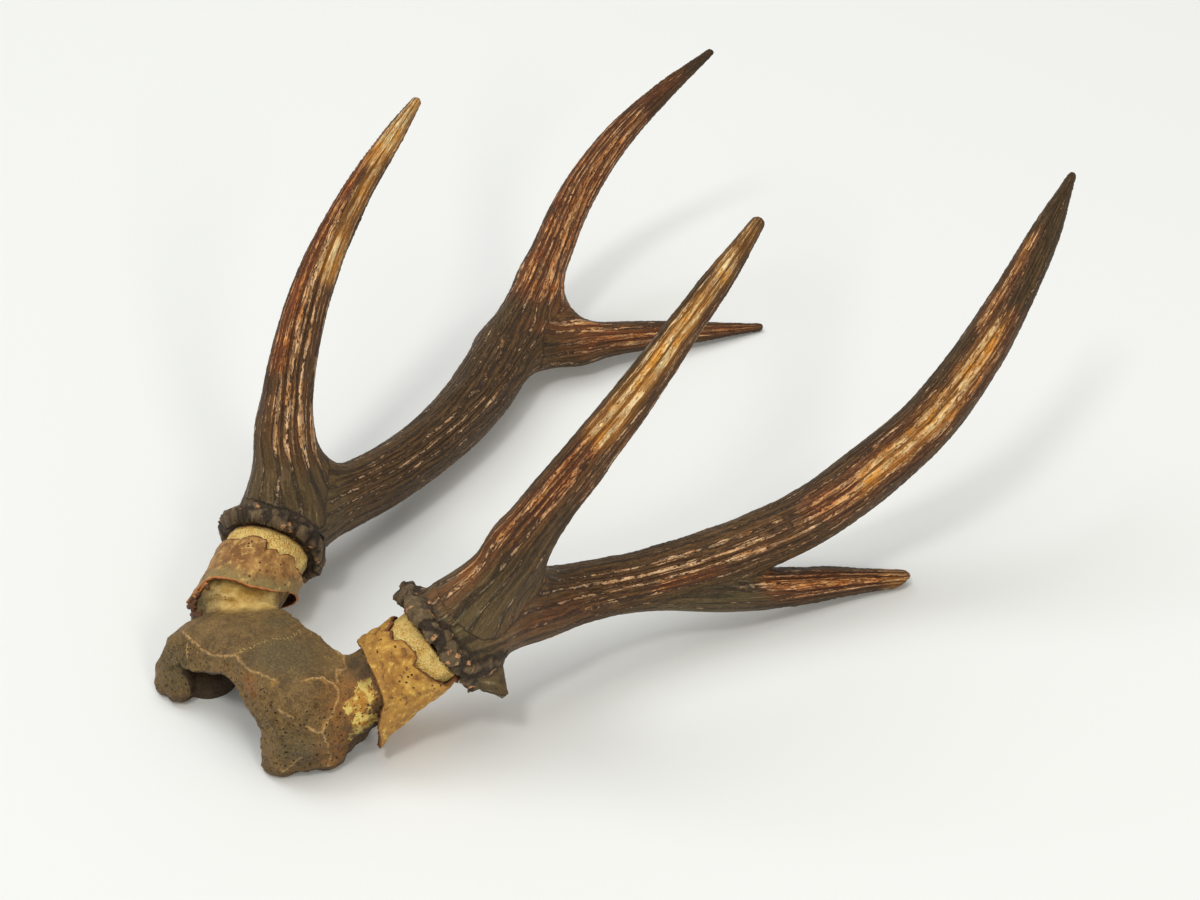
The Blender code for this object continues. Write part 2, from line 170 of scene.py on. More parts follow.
# Pedicles from inside the roof to the burr: X, Y, Z and radius in millimetres
PEDICLES = {
    "left": [(-32, -9, 24, 9), (-38, -1, 20, 17.5), (-46.5, 13, 22.5, 17.2), (-59.5, 38.5, 28.5, 19)],
    "right": [(27, -11, 28, 9), (34, 0, 25, 16.5), (42, 17, 29, 16.2), (51.8, 42, 43.2, 17.8)],
}
# Skull roof: arches across it, from the sawn front rim to the back; and its lumps: centre and half sizes
ROOF_ARCHES = [
    [(-42, -36, 2), (-43, -36, 9), (-36, -33, 19), (-22, -30, 23), (-1, -28, 34), (11, -28.5, 28),
     (21, -29, 22), (25, -31, 12), (25, -32, 2)],
    [(-45, -33, 2), (-47.5, -31, 12), (-43.5, -26, 27), (-26, -22, 35.5), (0, -21.5, 42), (21, -23, 43),
     (34, -25, 36), (38, -28, 20), (34, -30, 2)],
    [(-44, -12, 4), (-48, -10, 15), (-43, -7, 29), (-23, -4, 38.5), (0, -4, 43), (21, -5, 44), (40, -8, 40),
     (49, -12, 24), (46, -12, 3)],
    [(-38, 8, 9), (-40, 11, 17), (-34, 14, 29), (-17, 14, 36), (1, 13, 40), (18, 14, 38), (33, 15, 35),
     (47, 12, 19), (46, 9, 5)],
]
ROOF_THICKNESS = 5.5
LOBES = [
    ((-42.5, -26.5, 7.5), (9.5, 8.5, 9)), ((-42.5, -32, 4), (6.5, 6, 5.5)), ((-36, -30, 8), (9, 7, 10.5)),
    ((30, -24, 6), (8.5, 8, 9)), ((41, -8, 8), (7.5, 10, 10)), ((-33, -15, 2), (11, 12, 9))]

# Sutures, raised seams of the skull bones, in the object's frame in millimetres
SUTURES = [
    [(-28, -202.6, 31.6), (-20.7, -203.2, 32.7), (-10.5, -203.9, 33.8), (-3.2, -203.6, 35.6),
     (3, -202.9, 38.9), (8.1, -201.6, 41.2)],
    [(8.8, -200.8, 41.6), (13.8, -201.8, 42), (21.5, -202.2, 42.4), (29, -200.5, 42.8), (34.7, -198.9, 42.8)],
    [(41.2, -192, 42.5), (43.1, -185.6, 41.5), (45.1, -181.9, 40.6), (49.6, -180.7, 40.7),
     (52.7, -181.3, 38.8), (54.3, -183.1, 36.1), (54.8, -186.8, 32.2), (55.4, -192.2, 28.9),
     (55.7, -193.6, 27)],
    [(52.3, -198.3, 30.1), (54.2, -196.7, 28.6), (55.8, -193.7, 26.9), (57.2, -192.9, 21.9),
     (56.1, -190.9, 11.5), (55.6, -191.5, 6.8)],
    [(31.7, -166.6, 37.8), (38.2, -166.4, 39.7), (45.6, -171.6, 42.9), (48.1, -172.6, 42.7),
     (44.8, -176.1, 42), (49.3, -178.7, 41.4)],
    [(-21.3, -204.9, 30.5), (-18.7, -207.9, 26)],
    [(42.5, -202.9, 36), (47, -201.1, 34)],
    [(45.5, -207.4, 6.1), (47.7, -205.5, 9.3), (49.7, -203.4, 12.4), (51.4, -201.7, 15.4)],
]
# A crumbly seam across the top, pitted and flecked rather than raised
CRUMBLY_SEAM = [(7.9, -200.3, 41.6), (10.1, -193.3, 43.3), (11.4, -185.9, 43.4), (17, -178, 42.9),
                (13.5, -170.9, 41.2)]
# Single deep pores: place and radius
PORES = [
    (27, -206, 35.5, 0.9), (32, -205.5, 36.5, 1.0), (36.5, -205.5, 36, 0.8), (40.5, -205.5, 33.5, 0.9),
    (45.5, -207.5, 23, 1.1), (48, -206, 17, 0.9), (51.5, -192, 36.5, 0.8), (6, -205, 37.5, 1.0),
    (-22.5, -210, 21, 1.1), (-33, -210, 14, 1.2), (-27, -213, 17, 0.9), (-30, -206, 26, 0.8),
    (47, -204, 31, 0.8), (44, -207, 12, 1.0), (3, -168, 38.5, 1.2), (-40, -203, 15, 1.0)]
# Patches of colour on the skull: kind, centre, radius
PATCHES = [
    ("yellow", (59, -172.5, 43), 7), ("yellow", (61.5, -174, 38), 8), ("yellow", (59, -177, 33), 8),
    ("yellow", (63, -176, 24), 10), ("yellow", (61, -179, 16), 7),
    ("red", (59, -178, 34), 19), ("red", (58, -183, 14), 18), ("red", (24, -204, 38), 7),
    ("dark", (48, -169, 43), 6), ("dark", (54, -168, 42), 7), ("dark", (57, -167, 38), 6),
    ("dark", (66, -172, 30), 5), ("dark", (65, -174, 20), 6),
    ("grey", (24, -187, 43), 19), ("grey", (-38, -187, 30), 11), ("grey", (2, -174, 41), 8),
    ("grey", (50, -204, 18), 12), ("grey", (-25, -210, 18), 14),
    ("cream", (-28, -170, 32), 20), ("cream", (-20, -166, 31), 17), ("cream", (-42, -172, 30), 13),
]

# Sleeves of dried hide: distance from the burr seat to their two ragged edges by turn round the bone, how far
# they stand off it near the skull, and shreds: turn, distance from the seat and size
SLEEVES = {
    "left": {
        "burr_edge": [(0, 8.4), (12, 9), (20, 9.4), (26, 7), (34, 6.8), (47, 10.6), (54, 9.2), (68, 12.2),
                      (71, 7.6), (90, 8), (106, 10.6), (125, 10.7), (150, 9), (190, 10), (240, 7.5), (290, 8),
                      (330, 7)],
        "skull_edge": [(0, 20), (10, 22), (28, 28), (47, 31.5), (62, 34), (79, 34.4), (93, 34.2), (113, 33.6),
                       (130, 35), (142, 41), (149, 36), (156, 44), (163, 37), (180, 33), (215, 26), (250, 20),
                       (290, 17), (334, 16.5), (350, 18)],
        "lift": [(0, 1.8), (20, 1.4), (45, 1.4), (80, 1.5), (115, 1.2), (145, 0.6), (180, 0.8), (250, 1.4),
                 (310, 2.0), (335, 2.8), (350, 2.4)],
        "shreds": [(128, 35, 2.8), (136, 36, 3.2), (143, 38, 3.4), (150, 37, 3.0), (156, 40, 3.4),
                   (148, 42, 3.0), (153, 46, 3.2), (147, 48, 2.6), (151, 52, 3.0), (146, 55, 2.4),
                   (150, 58, 2.2)],
    },
    "right": {
        "burr_edge": [(0, 5.6), (8, 6.2), (24, 7.3), (33, 8), (38, 8.3), (42, 5), (50, 4.8), (60, 5.3),
                      (72, 6), (79, 9.4), (85, 10), (93, 8.6), (102, 11), (110, 7.5), (120, 7), (150, 6),
                      (190, 8), (240, 6), (290, 5), (320, 3.5), (331, 0.5), (336, -1.5), (341, 3.7)],
        "skull_edge": [(0, 33), (8, 31.3), (19, 28), (31, 26.8), (49, 25.2), (70, 24.6), (90, 24.4),
                       (111, 25), (140, 26), (180, 28), (215, 31), (250, 34), (290, 37), (316, 38),
                       (330, 36.5), (349, 35.6)],
        "lift": [(0, 1.6), (30, 0.7), (60, 0.5), (100, 0.9), (140, 1.4), (180, 1.2), (250, 2.0), (290, 4.0),
                 (316, 5.6), (335, 3.2), (350, 2.0)],
        "shreds": [],
    },
}
HIDE_THICKNESS = 1.2
HIDE_CLEARANCE = 0.9

# Radius of the circle on which the hide's raggedness is told, how far from the burr a pedicle's bone is
# smooth, and how far each antler's seat stands off its cut face
PEDICLE_RADIUS = 19
NECK_LENGTH = 30
SEAT_GAP = 0.3
# Distance of points that are near nothing, and how many points are looked up in one go
FAR = 99.0
CHUNK = 20000


class AntlerSizes(bpy.types.PropertyGroup):
    """Sizes that change how fine the antlers' surface is carved."""

    cell: bpy.props.FloatProperty(
        name="Mesh cell", description="Edge length of the antlers' mesh", default=0.9 * MM,
        min=0.5 * MM, subtype="DISTANCE", unit="LENGTH")
    gutter: bpy.props.FloatProperty(
        name="Gutter depth", description="Depth of the broad lengthwise gutters", default=0.6 * MM,
        min=0, subtype="DISTANCE", unit="LENGTH")
    ridge: bpy.props.FloatProperty(
        name="Ridge height", description="Height of the narrow lengthwise ridges", default=0.6 * MM,
        min=0, subtype="DISTANCE", unit="LENGTH")
    knob: bpy.props.FloatProperty(
        name="Burr knob height", description="How far the knobs of the burr stand out", default=1.7 * MM,
        min=0, subtype="DISTANCE", unit="LENGTH")


class SkullSizes(bpy.types.PropertyGroup):
    """How fine the skull plate is."""

    cell: bpy.props.FloatProperty(
        name="Mesh cell", description="Edge length of the skull plate's mesh", default=0.85 * MM,
        min=0.5 * MM, subtype="DISTANCE", unit="LENGTH")


class StageSizes(bpy.types.PropertyGroup):
    """Camera and floor."""

    lens: bpy.props.FloatProperty(
        name="Focal length", description="Focal length of the camera", default=74.0, min=10, unit="CAMERA")
    camera: bpy.props.FloatVectorProperty(
        name="Camera place", description="Where the camera stands", default=(0.67107, -0.60932, 0.74715),
        subtype="TRANSLATION", unit="LENGTH")
    aim: bpy.props.FloatVectorProperty(
        name="Camera aim", description="The point on the floor in the middle of the picture",
        default=(-0.02909, 0.04324, 0.0), subtype="TRANSLATION", unit="LENGTH")
    floor: bpy.props.FloatVectorProperty(
        name="Floor colour", description="Colour of the floor", default=(0.9, 0.91, 0.895), subtype="COLOR",
        min=0, max=1)


def linear(hexcode):
    """An sRGB hex colour as linear red, green, blue and full alpha."""
    channels = [int(hexcode[i:i + 2], 16) / 255 for i in (1, 3, 5)]
    return (*[c / 12.92 if c <= 0.04045 else ((c + 0.055) / 1.055) ** 2.4 for c in channels], 1.0)


# The setting that a node's mode stands for, where its kind is given with one, such as Math.ADD
MODES = {"Math": "operation", "VectorMath": "operation", "Mix": "data_type", "MapRange": "interpolation_type"}


def add(tree, kind, inputs=(), **settings):
    """Add a node, give it its settings, set or link its inputs in the order that it shows them, and return
    its first output. None leaves an input as it is, and a colour is an sRGB hex value."""
    kind, _, mode = kind.partition(".")
    node = tree.nodes.new("ShaderNode" + kind)
    if mode:
        settings[MODES[kind]] = mode
    for key, value in settings.items():
        setattr(node, key, value)
    for socket, value in zip([s for s in node.inputs if s.enabled], inputs):
        if isinstance(value, bpy.types.NodeSocket):
            tree.links.new(value, socket)
        elif value is not None:
            socket.default_value = linear(value) if isinstance(value, str) else value
    return next(s for s in node.outputs if s.enabled)


def new_material(name, *stored):
    """A material, its node tree, its shader, and the three numbers that a mesh carries under each name."""
    material = bpy.data.materials.new(name)
    material.use_nodes = True
    tree = material.node_tree
    vectors = [add(tree, "Attribute", attribute_name=word).node.outputs["Vector"] for word in stored]
    numbers = [add(tree, "SeparateXYZ", [vector]).node.outputs[:3] for vector in vectors]
    return material, tree, tree.nodes["Principled BSDF"], *numbers


def finish_shader(shader, colour, gloss, heights, bump, ior, specular):
    """Link the colour, the roughness and a bump, and set what is the same all over. heights is the finest
    height, then pairs of another one and its amount; bump is the strength and the distance."""
    tree = shader.id_data
    height, *others = heights
    for part, amount in others:
        height = add(tree, "Math.MULTIPLY_ADD", [part, amount, height])
    bump = add(tree, "Bump", [*bump, None, height])
    for name, socket in (("Base Color", colour), ("Roughness", gloss), ("Normal", bump)):
        tree.links.new(socket, shader.inputs[name])
    shader.inputs["IOR"].default_value = ior
    shader.inputs["Specular IOR Level"].default_value = specular


# ---------------------------------------------------------------- paths and fields


def smooth_path(points, samples=24):
    """A dense curve through the points (Catmull-Rom), in the object's frame, in millimetres."""
    rows = np.array(points, float)
    rows[:, :3] -= ORIGIN
    ends = np.vstack([2 * rows[0] - rows[1], rows, 2 * rows[-1] - rows[-2]])
    dense = []
    for i in range(1, len(ends) - 2):
        before, start, stop, after = ends[i - 1:i + 3]
        for t in np.linspace(0, 1, samples, endpoint=False):
            dense.append(0.5 * (2 * start + (stop - before) * t
                                + (2 * before - 5 * start + 4 * stop - after) * t ** 2
                                + (3 * start - before - 3 * stop + after) * t ** 3))
    dense.append(rows[-1])
    return np.array(dense)


def lengths(path):
    """Distance along the path at each of its rows."""
    return np.r_[0, np.cumsum(np.linalg.norm(np.diff(path[:, :3], axis=0), axis=1))]


def rows_at(path, places):
    """The path's rows at these distances along it."""
    along = lengths(path)
    return np.stack([np.interp(places, along, column) for column in path.T], axis=1)


def even_rows(path, step):
    """The path's rows at even distances."""
    total = lengths(path)[-1]
    return rows_at(path, np.linspace(0, total, max(4, round(total / step)) + 1))


def unit(rows):
    """Each row at length one."""
    return rows / np.maximum(np.linalg.norm(rows, axis=-1, keepdims=True), 1e-9)


class Branch:
    """A tapered tube round a path, asked for the distance of points from its skin."""

    def __init__(self, path):
        rows = even_rows(path, 1.0)
        self.centre = rows[:, :3]
        self.radius = rows[:, 3]
        self.along = lengths(rows)
        self.tangent = unit(np.gradient(self.centre, axis=0))
        self.taper = np.gradient(self.radius, self.along)
        self.up = unit(np.array([0, 0, 1.0]) - self.tangent * self.tangent[:, 2:])
        self.side = np.cross(self.tangent, self.up)

    def around(self, points):
        """Signed distance, outward direction and place (across, up, along) of each point."""
        nearest = np.empty(len(points), int)
        for start in range(0, len(points), CHUNK):
            part = slice(start, start + CHUNK)
            nearest[part] = ((self.centre ** 2).sum(1) - 2 * points[part] @ self.centre.T).argmin(1)
        step = ((points - self.centre[nearest]) * self.tangent[nearest]).sum(1)
        step = np.clip(step, -self.along[nearest], self.along[-1] - self.along[nearest])
        offset = points - self.centre[nearest] - self.tangent[nearest] * step[:, None]
        reach = np.linalg.norm(offset, axis=1)
        radius = self.radius[nearest] + self.taper[nearest] * step
        toward = offset / np.maximum(reach, 1e-6)[:, None]
        across, up = [(toward * axis[nearest]).sum(1) * RUN_RADIUS for axis in (self.side, self.up)]
        return reach - radius, toward, np.stack([across, up, self.along[nearest] + step], axis=1)


def unite(first, second, blend):
    """Smooth union of two fields of distance and direction, and the second one's share."""
    a, toward_a = first
    b, toward_b = second
    overlap = np.clip(blend - abs(a - b), 0, None) / blend
    share = np.where(a < b, overlap / 2, 1 - overlap / 2)
    distance = np.minimum(a, b) - overlap ** 2 * blend / 4
    return (distance, toward_a * (1 - share)[:, None] + toward_b * share[:, None]), share


def ease(values, low, high):
    """Smooth step from 0 at low to 1 at high."""
    t = np.clip((values - low) / (high - low), 0, 1)
    return t * t * (3 - 2 * t)


def noise_at(places, size):
    """Smooth noise from about -1 to 1 at each place, with features of about that size."""
    return np.array([noise.noise(p) for p in (places / size).tolist()])


def pebbles_at(places, size):
    """Domes from 0 to 1 with creases between them, one for each cell of about that size."""
    return np.array([max(0.0, 1 - (1.3 * noise.voronoi(p)[0][0]) ** 1.6) for p in (places / size).tolist()])


# ---------------------------------------------------------------- mesh steps


def pick(*items):
    """Select these items alone and make the first of them active."""
    bpy.ops.object.select_all(action="DESELECT")
    for item in items:
        item.select_set(True)
    if items:
        bpy.context.view_layer.objects.active = items[0]


def tube(name, rows):
    """A closed mesh tube through rows of X, Y, Z and radius in millimetres, made from a bevelled curve."""
    pick()
    bpy.ops.curve.primitive_nurbs_path_add()
    guide = bpy.context.object
    guide.name = name
    guide.data.splines.clear()
    guide.data.bevel_depth = 1.0
    guide.data.bevel_resolution = 5
    guide.data.use_fill_caps = True
    spline = guide.data.splines.new("POLY")
    spline.points.add(len(rows) - 1)
    for point, (x, y, z, radius) in zip(spline.points, rows * MM):
        point.co = (x, y, z, 1)
        point.radius = radius
    bpy.ops.object.convert(target="MESH")
    return bpy.context.object


def apply_modifier(item, kind, **settings):
    """Add a modifier, give it its settings and apply it."""
    pick(item)
    modifier = item.modifiers.new(kind.title(), kind)
    for key, value in settings.items():
        setattr(modifier, key, value)
    bpy.ops.object.modifier_apply(modifier=modifier.name)


def join(name, items):
    """Join the items to one object."""
    pick(*items)
    bpy.ops.object.join()
    items[0].name = name
    items[0].data.name = name
    return items[0]


def get_vectors(item, kind):
    """A vector of each vertex: "co", its place in metres, or "normal"."""
    vectors = np.empty(len(item.data.vertices) * 3)
    item.data.vertices.foreach_get(kind, vectors)
    return vectors.reshape(-1, 3)


def get_points(item):
    """Each vertex's place in millimetres."""
    return get_vectors(item, "co") / MM


def set_points(item, points):
    """Put each vertex to its place in millimetres."""
    item.data.vertices.foreach_set("co", (points * MM).ravel())
    item.data.update()


def set_attribute(item, name, values):
    """Store a number or a vector for each vertex, for the material to read."""
    values = np.asarray(values, np.float32)
    if values.ndim == 1:
        item.data.attributes.new(name, "FLOAT", "POINT").data.foreach_set("value", values)
    else:
        item.data.attributes.new(name, "FLOAT_VECTOR", "POINT").data.foreach_set("vector", values.ravel())


def finish_piece(item, material, nodes):
    """Give a finished piece its material and smooth shading, attach it to the root body and hide the solids
    that it stands for.
    """
    item.data.materials.clear()
    item.data.materials.append(material)
    pick(item)
    bpy.ops.object.shade_smooth()
    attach(item, "root")
    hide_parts(*nodes)


# ---------------------------------------------------------------- antlers


class Antler:
    """The smooth union of one antler's branches, burr and spurs."""

    def __init__(self, side):
        table = BRANCHES[side]
        self.branches = {name: Branch(smooth_path(points)) for name, points in table.items()}
        path = smooth_path(table["beam"])
        self.axis = unit(path[12, :3] - path[0, :3])
        self.seat = path[0, :3] + self.axis
        self.side = unit(np.cross(self.axis, (0, 0, 1)))
        self.down = np.cross(self.axis, self.side)
        self.blends = FORK_BLEND[side]
        beam = self.branches["beam"]
        self.webs = []
        for name, leave, reach, radius in WEBS[side]:
            ends = beam.centre[round(leave)], self.branches[name].centre[round(reach)]
            self.webs.append(Branch(np.array([(*end, radius) for end in ends])))
        self.breaks = [(np.array(place), unit(np.array(normal))) for place, normal in BROKEN_TIPS[side]]
        self.spurs = []
        for turn, height, steps in BURR_SPURS[side]:
            out = math.cos(math.radians(turn)) * self.side + math.sin(math.radians(turn)) * self.down
            rows = [(*(self.seat + self.axis * height + out * reach), radius) for reach, radius in steps]
            self.spurs.append(Branch(np.array(rows)))

    def burr(self, points):
        """Distance and direction of the burr, a thick disc with a rounded edge."""
        offset = points - self.seat
        height = offset @ self.axis
        radial = offset - height[:, None] * self.axis
        reach = np.linalg.norm(radial, axis=1)
        radial = radial / np.maximum(reach, 1e-6)[:, None]
        middle = height - BURR_THICKNESS / 2
        out = reach - (BURR_RADIUS - BURR_ROUNDING)
        above = abs(middle) - (BURR_THICKNESS / 2 - BURR_ROUNDING)
        corner = np.hypot(np.clip(out, 0, None), np.clip(above, 0, None))
        distance = corner + np.minimum(np.maximum(out, above), 0) - BURR_ROUNDING
        rise = np.sign(middle)[:, None] * self.axis
        toward = np.where((out > above)[:, None], radial, rise)
        rounded = np.clip(out, 0, None)[:, None] * radial + np.clip(above, 0, None)[:, None] * rise
        return distance, np.where((corner > 0)[:, None], unit(rounded), toward)

    def field(self, points):
        """Distance and direction of the whole antler, and how much of each part a point belongs to."""
        around = {name: branch.around(points) for name, branch in self.branches.items()}
        united = around["beam"][:2]
        shares = {"beam": np.ones(len(points))}
        for name in ("brow", "rear"):
            united, share = unite(united, around[name][:2], self.blends[name])
            for other in shares:
                shares[other] = shares[other] * (1 - share)
            shares[name] = share
        for web in self.webs:
            united, _ = unite(united, web.around(points)[:2], WEB_BLEND)
        united, shares["burr"] = unite(united, self.burr(points), BURR_BLEND)
        for spur in self.spurs:
            united, share = unite(united, spur.around(points)[:2], SPUR_BLEND)
            shares["burr"] = np.maximum(shares["burr"], share)
        distance, toward = united
        on_rear = shares["rear"] > 0.9
        for place, normal, here in [*[(*cut, on_rear) for cut in self.breaks], (self.seat, -self.axis, True)]:
            beyond = (points - place) @ normal
            cut_off = (beyond > distance) & here
            distance = np.where(cut_off, beyond, distance)
            toward = np.where(cut_off[:, None], normal, toward)
        return distance, toward, shares, around

    def project(self, points):
        """Move points on to the antler's skin."""
        distance, toward, _, _ = self.field(points)
        return points - toward * (distance / np.clip((toward ** 2).sum(1), 0.25, None))[:, None]


def rough_antler(side, cell):
    """The branches as tubes, merged to one skin of even cells."""
    antler = Antler(side)
    pieces = []
    for name, points in BRANCHES[side].items():
        rows = even_rows(smooth_path(points), 3.0)
        if name == "beam":
            rows[lengths(rows) < BURR_THICKNESS + 2, 3] = BURR_RADIUS
            rows = rows[1:]
        # a rounded tip
        tip, before = rows[-1], rows[-2]
        ahead = np.r_[unit(tip[:3] - before[:3]) * tip[3], 0]
        rows = np.vstack([rows, (tip + 0.6 * ahead) * (1, 1, 1, 0.8), (tip + 0.9 * ahead) * (1, 1, 1, 0.35)])
        pieces.append(tube(f"{side}_{name}", rows))
    for extra in antler.webs + antler.spurs:
        pieces.append(tube(f"{side}_extra", np.c_[extra.centre, extra.radius]))
    item = join(f"{side}_antler", pieces)
    apply_modifier(item, "REMESH", mode="VOXEL", voxel_size=cell, use_smooth_shade=True)
    apply_modifier(item, "SMOOTH", factor=0.5, iterations=3)
    return item, antler


def wear_at(side, shares, around, points):
    """How golden, how rusty and how streaked each point is."""
    golden, rusty, streaked = np.zeros((3, len(points)))
    streaked += 0.2
    ragged = noise_at(points, 11.0)
    for name, start, stop, turn, width, gold, rust, streak in WORN[side]:
        across, up, along = around[name][2].T
        off = np.degrees(np.arctan2(across, up)) - turn
        off = (off + 180) % 360 - 180
        along = along + 7 * ragged
        mask = ease(along, start - 10, start + 10) * (1 - ease(along, stop - 10, stop + 10))
        mask = mask * np.exp(-(off / width) ** 2) * shares[name] * np.clip(0.85 + 0.5 * ragged, 0, 1)
        golden = np.maximum(golden, gold * mask)
        rusty = np.maximum(rusty, rust * mask)
        streaked = np.maximum(streaked, streak * mask)
    return np.stack([golden, rusty, streaked], axis=1)


def ridges_at(side, antler, shares, around, sizes):
    """Height of the ridges and gutters at each point, its place round and along its branch, how the lines
    sway there and how strong they are, and its share of the branch that it belongs to most."""
    count = len(shares["beam"])
    relief, strongest = np.zeros((2, count))
    run, lines = np.zeros((2, count, 3))
    for index, name in enumerate(("beam", "brow", "rear")):
        share = shares[name]
        place = around[name][2]
        near = share > 0.01
        shift = 40.0 * (index + (3 if side == "right" else 0))
        slow = (place * (1, 1, 0.055) + shift)[near]
        quick = (place * (1, 1, 0.3) + shift)[near]
        turn = np.arctan2(place[near, 1], place[near, 0])
        sway = 4.0 * noise_at(slow, 8.0) + 2.0 * noise_at(slow + 20, 4.0) + 1.1 * noise_at(quick, 4.0)
        stray = 3.0 * noise_at(slow + 60, 7.0) + 1.5 * noise_at(quick + 60, 5.0)
        ridge = 0.5 + 0.5 * np.sin(RIDGES[index > 0] * turn + sway)
        rib = 0.5 + 0.5 * np.sin(RIBS[index > 0] * turn + stray)
        total = antler.branches[name].along[-1]
        fade = 1 - 0.6 * ease(place[near, 2], total - 40, total)
        broken = ease(noise_at(place[near] * (1, 1, 0.16) + shift, 3.2), -0.25, 0.15)
        strong = ease(noise_at(slow + 120, 6.0), -0.5, 0.3)
        height = (ridge * (0.3 + 0.7 * broken) * (0.35 + 0.65 * strong) + 0.3 * rib) * sizes.ridge
        height = height + noise_at(slow + 90, 9.0) * sizes.gutter
        relief[near] += share[near] * height / MM * fade
        leads = share > strongest
        run[leads] = place[leads] + (0, 0, TINE_START * index)
        here = np.zeros((count, 3))
        here[near] = np.stack([sway, stray, strong], axis=1)
        lines[leads] = here[leads]
        strongest = np.maximum(strongest, share)
    return relief, run, lines, strongest


def carve(side, item, antler, sizes):
    """Give the antler its true shape, its gutters, ridges, pearls and burr knobs, and its place marks."""
    points = get_points(item)
    for _ in range(3):
        points = antler.project(points)
    _, toward, shares, around = antler.field(points)
    toward = unit(toward)
    relief, run, lines, strongest = ridges_at(side, antler, shares, around, sizes)
    relief += 0.22 * noise_at(points, 2.0)

    # knobs on the burr, pearls on the root above it, and the burr's ragged lower edge
    from_seat = (points - antler.seat) @ antler.axis
    burr = shares["burr"]
    root = np.linalg.norm(points - antler.seat, axis=1)
    pearls = (1 - ease(from_seat, 12, 34)) * (root < 60) * (1 - burr)
    close = (burr > 0.02) | (pearls > 0.02)
    warp = np.stack([noise_at(points[close] + 17 * k, 4.2) for k in range(3)], axis=1)
    bumps = np.ones(len(points))
    bumps[close] = pebbles_at(points[close] + 3.4 * warp, 5.4)
    rough = 1.2 * noise_at(points[close], 11.0) + 0.5 * noise_at(points[close], 3.2)
    rough = rough + 0.35 * noise_at(points[close], 1.8)
    knobs = np.zeros(len(points))
    knobs[close] = (bumps[close] * 1.1 + rough) * burr[close] * sizes.knob / MM
    knobs[close] += pebbles_at(points[close] + 1.5 * warp, 2.3) * (burr[close] + 0.3 * pearls[close])
    reach = np.linalg.norm(points - antler.seat - from_seat[:, None] * antler.axis, axis=1)
    hang = 3.0 * bumps * burr * ease(reach, 19.5, 22.5) * (1 - ease(from_seat, 0.5, 4.0))
    base = ease(from_seat, -0.2, 1.2)

    # smooth grey-green skin at the root, and on the right also at the start of the rear tine
    olive = (1 - ease(from_seat, 14, 60)) * (root < 90)
    if side == "right":
        olive = np.maximum(olive, shares["rear"] * (1 - ease(around["rear"][2][:, 2], 50, 80)))
        relief *= 1 - 0.9 * olive
    else:
        olive *= 0.6
        relief *= 1 - 0.33 * olive
    spur = ease(reach, 24.5, 28.0)
    knobs *= 1 - 0.6 * spur
    relief = relief * (1 - burr) * (1 - 0.6 * pearls) + knobs - 0.9 * sizes.knob / MM * burr
    set_points(item, points + toward * (relief * base)[:, None] - antler.axis * hang[:, None])

    # knob height on the burr, which the material reads for the burr and for painted shade in its creases
    knob = burr * (0.3 + 0.7 * bumps) * (1 - 0.8 * spur)
    fork = 1 - ease(strongest, 0.5, 0.9)
    set_attribute(item, "run", run)
    set_attribute(item, "lines", lines)
    set_attribute(item, "wear", wear_at(side, shares, around, points))
    set_attribute(item, "zone", np.stack([olive, knob, fork], axis=1))


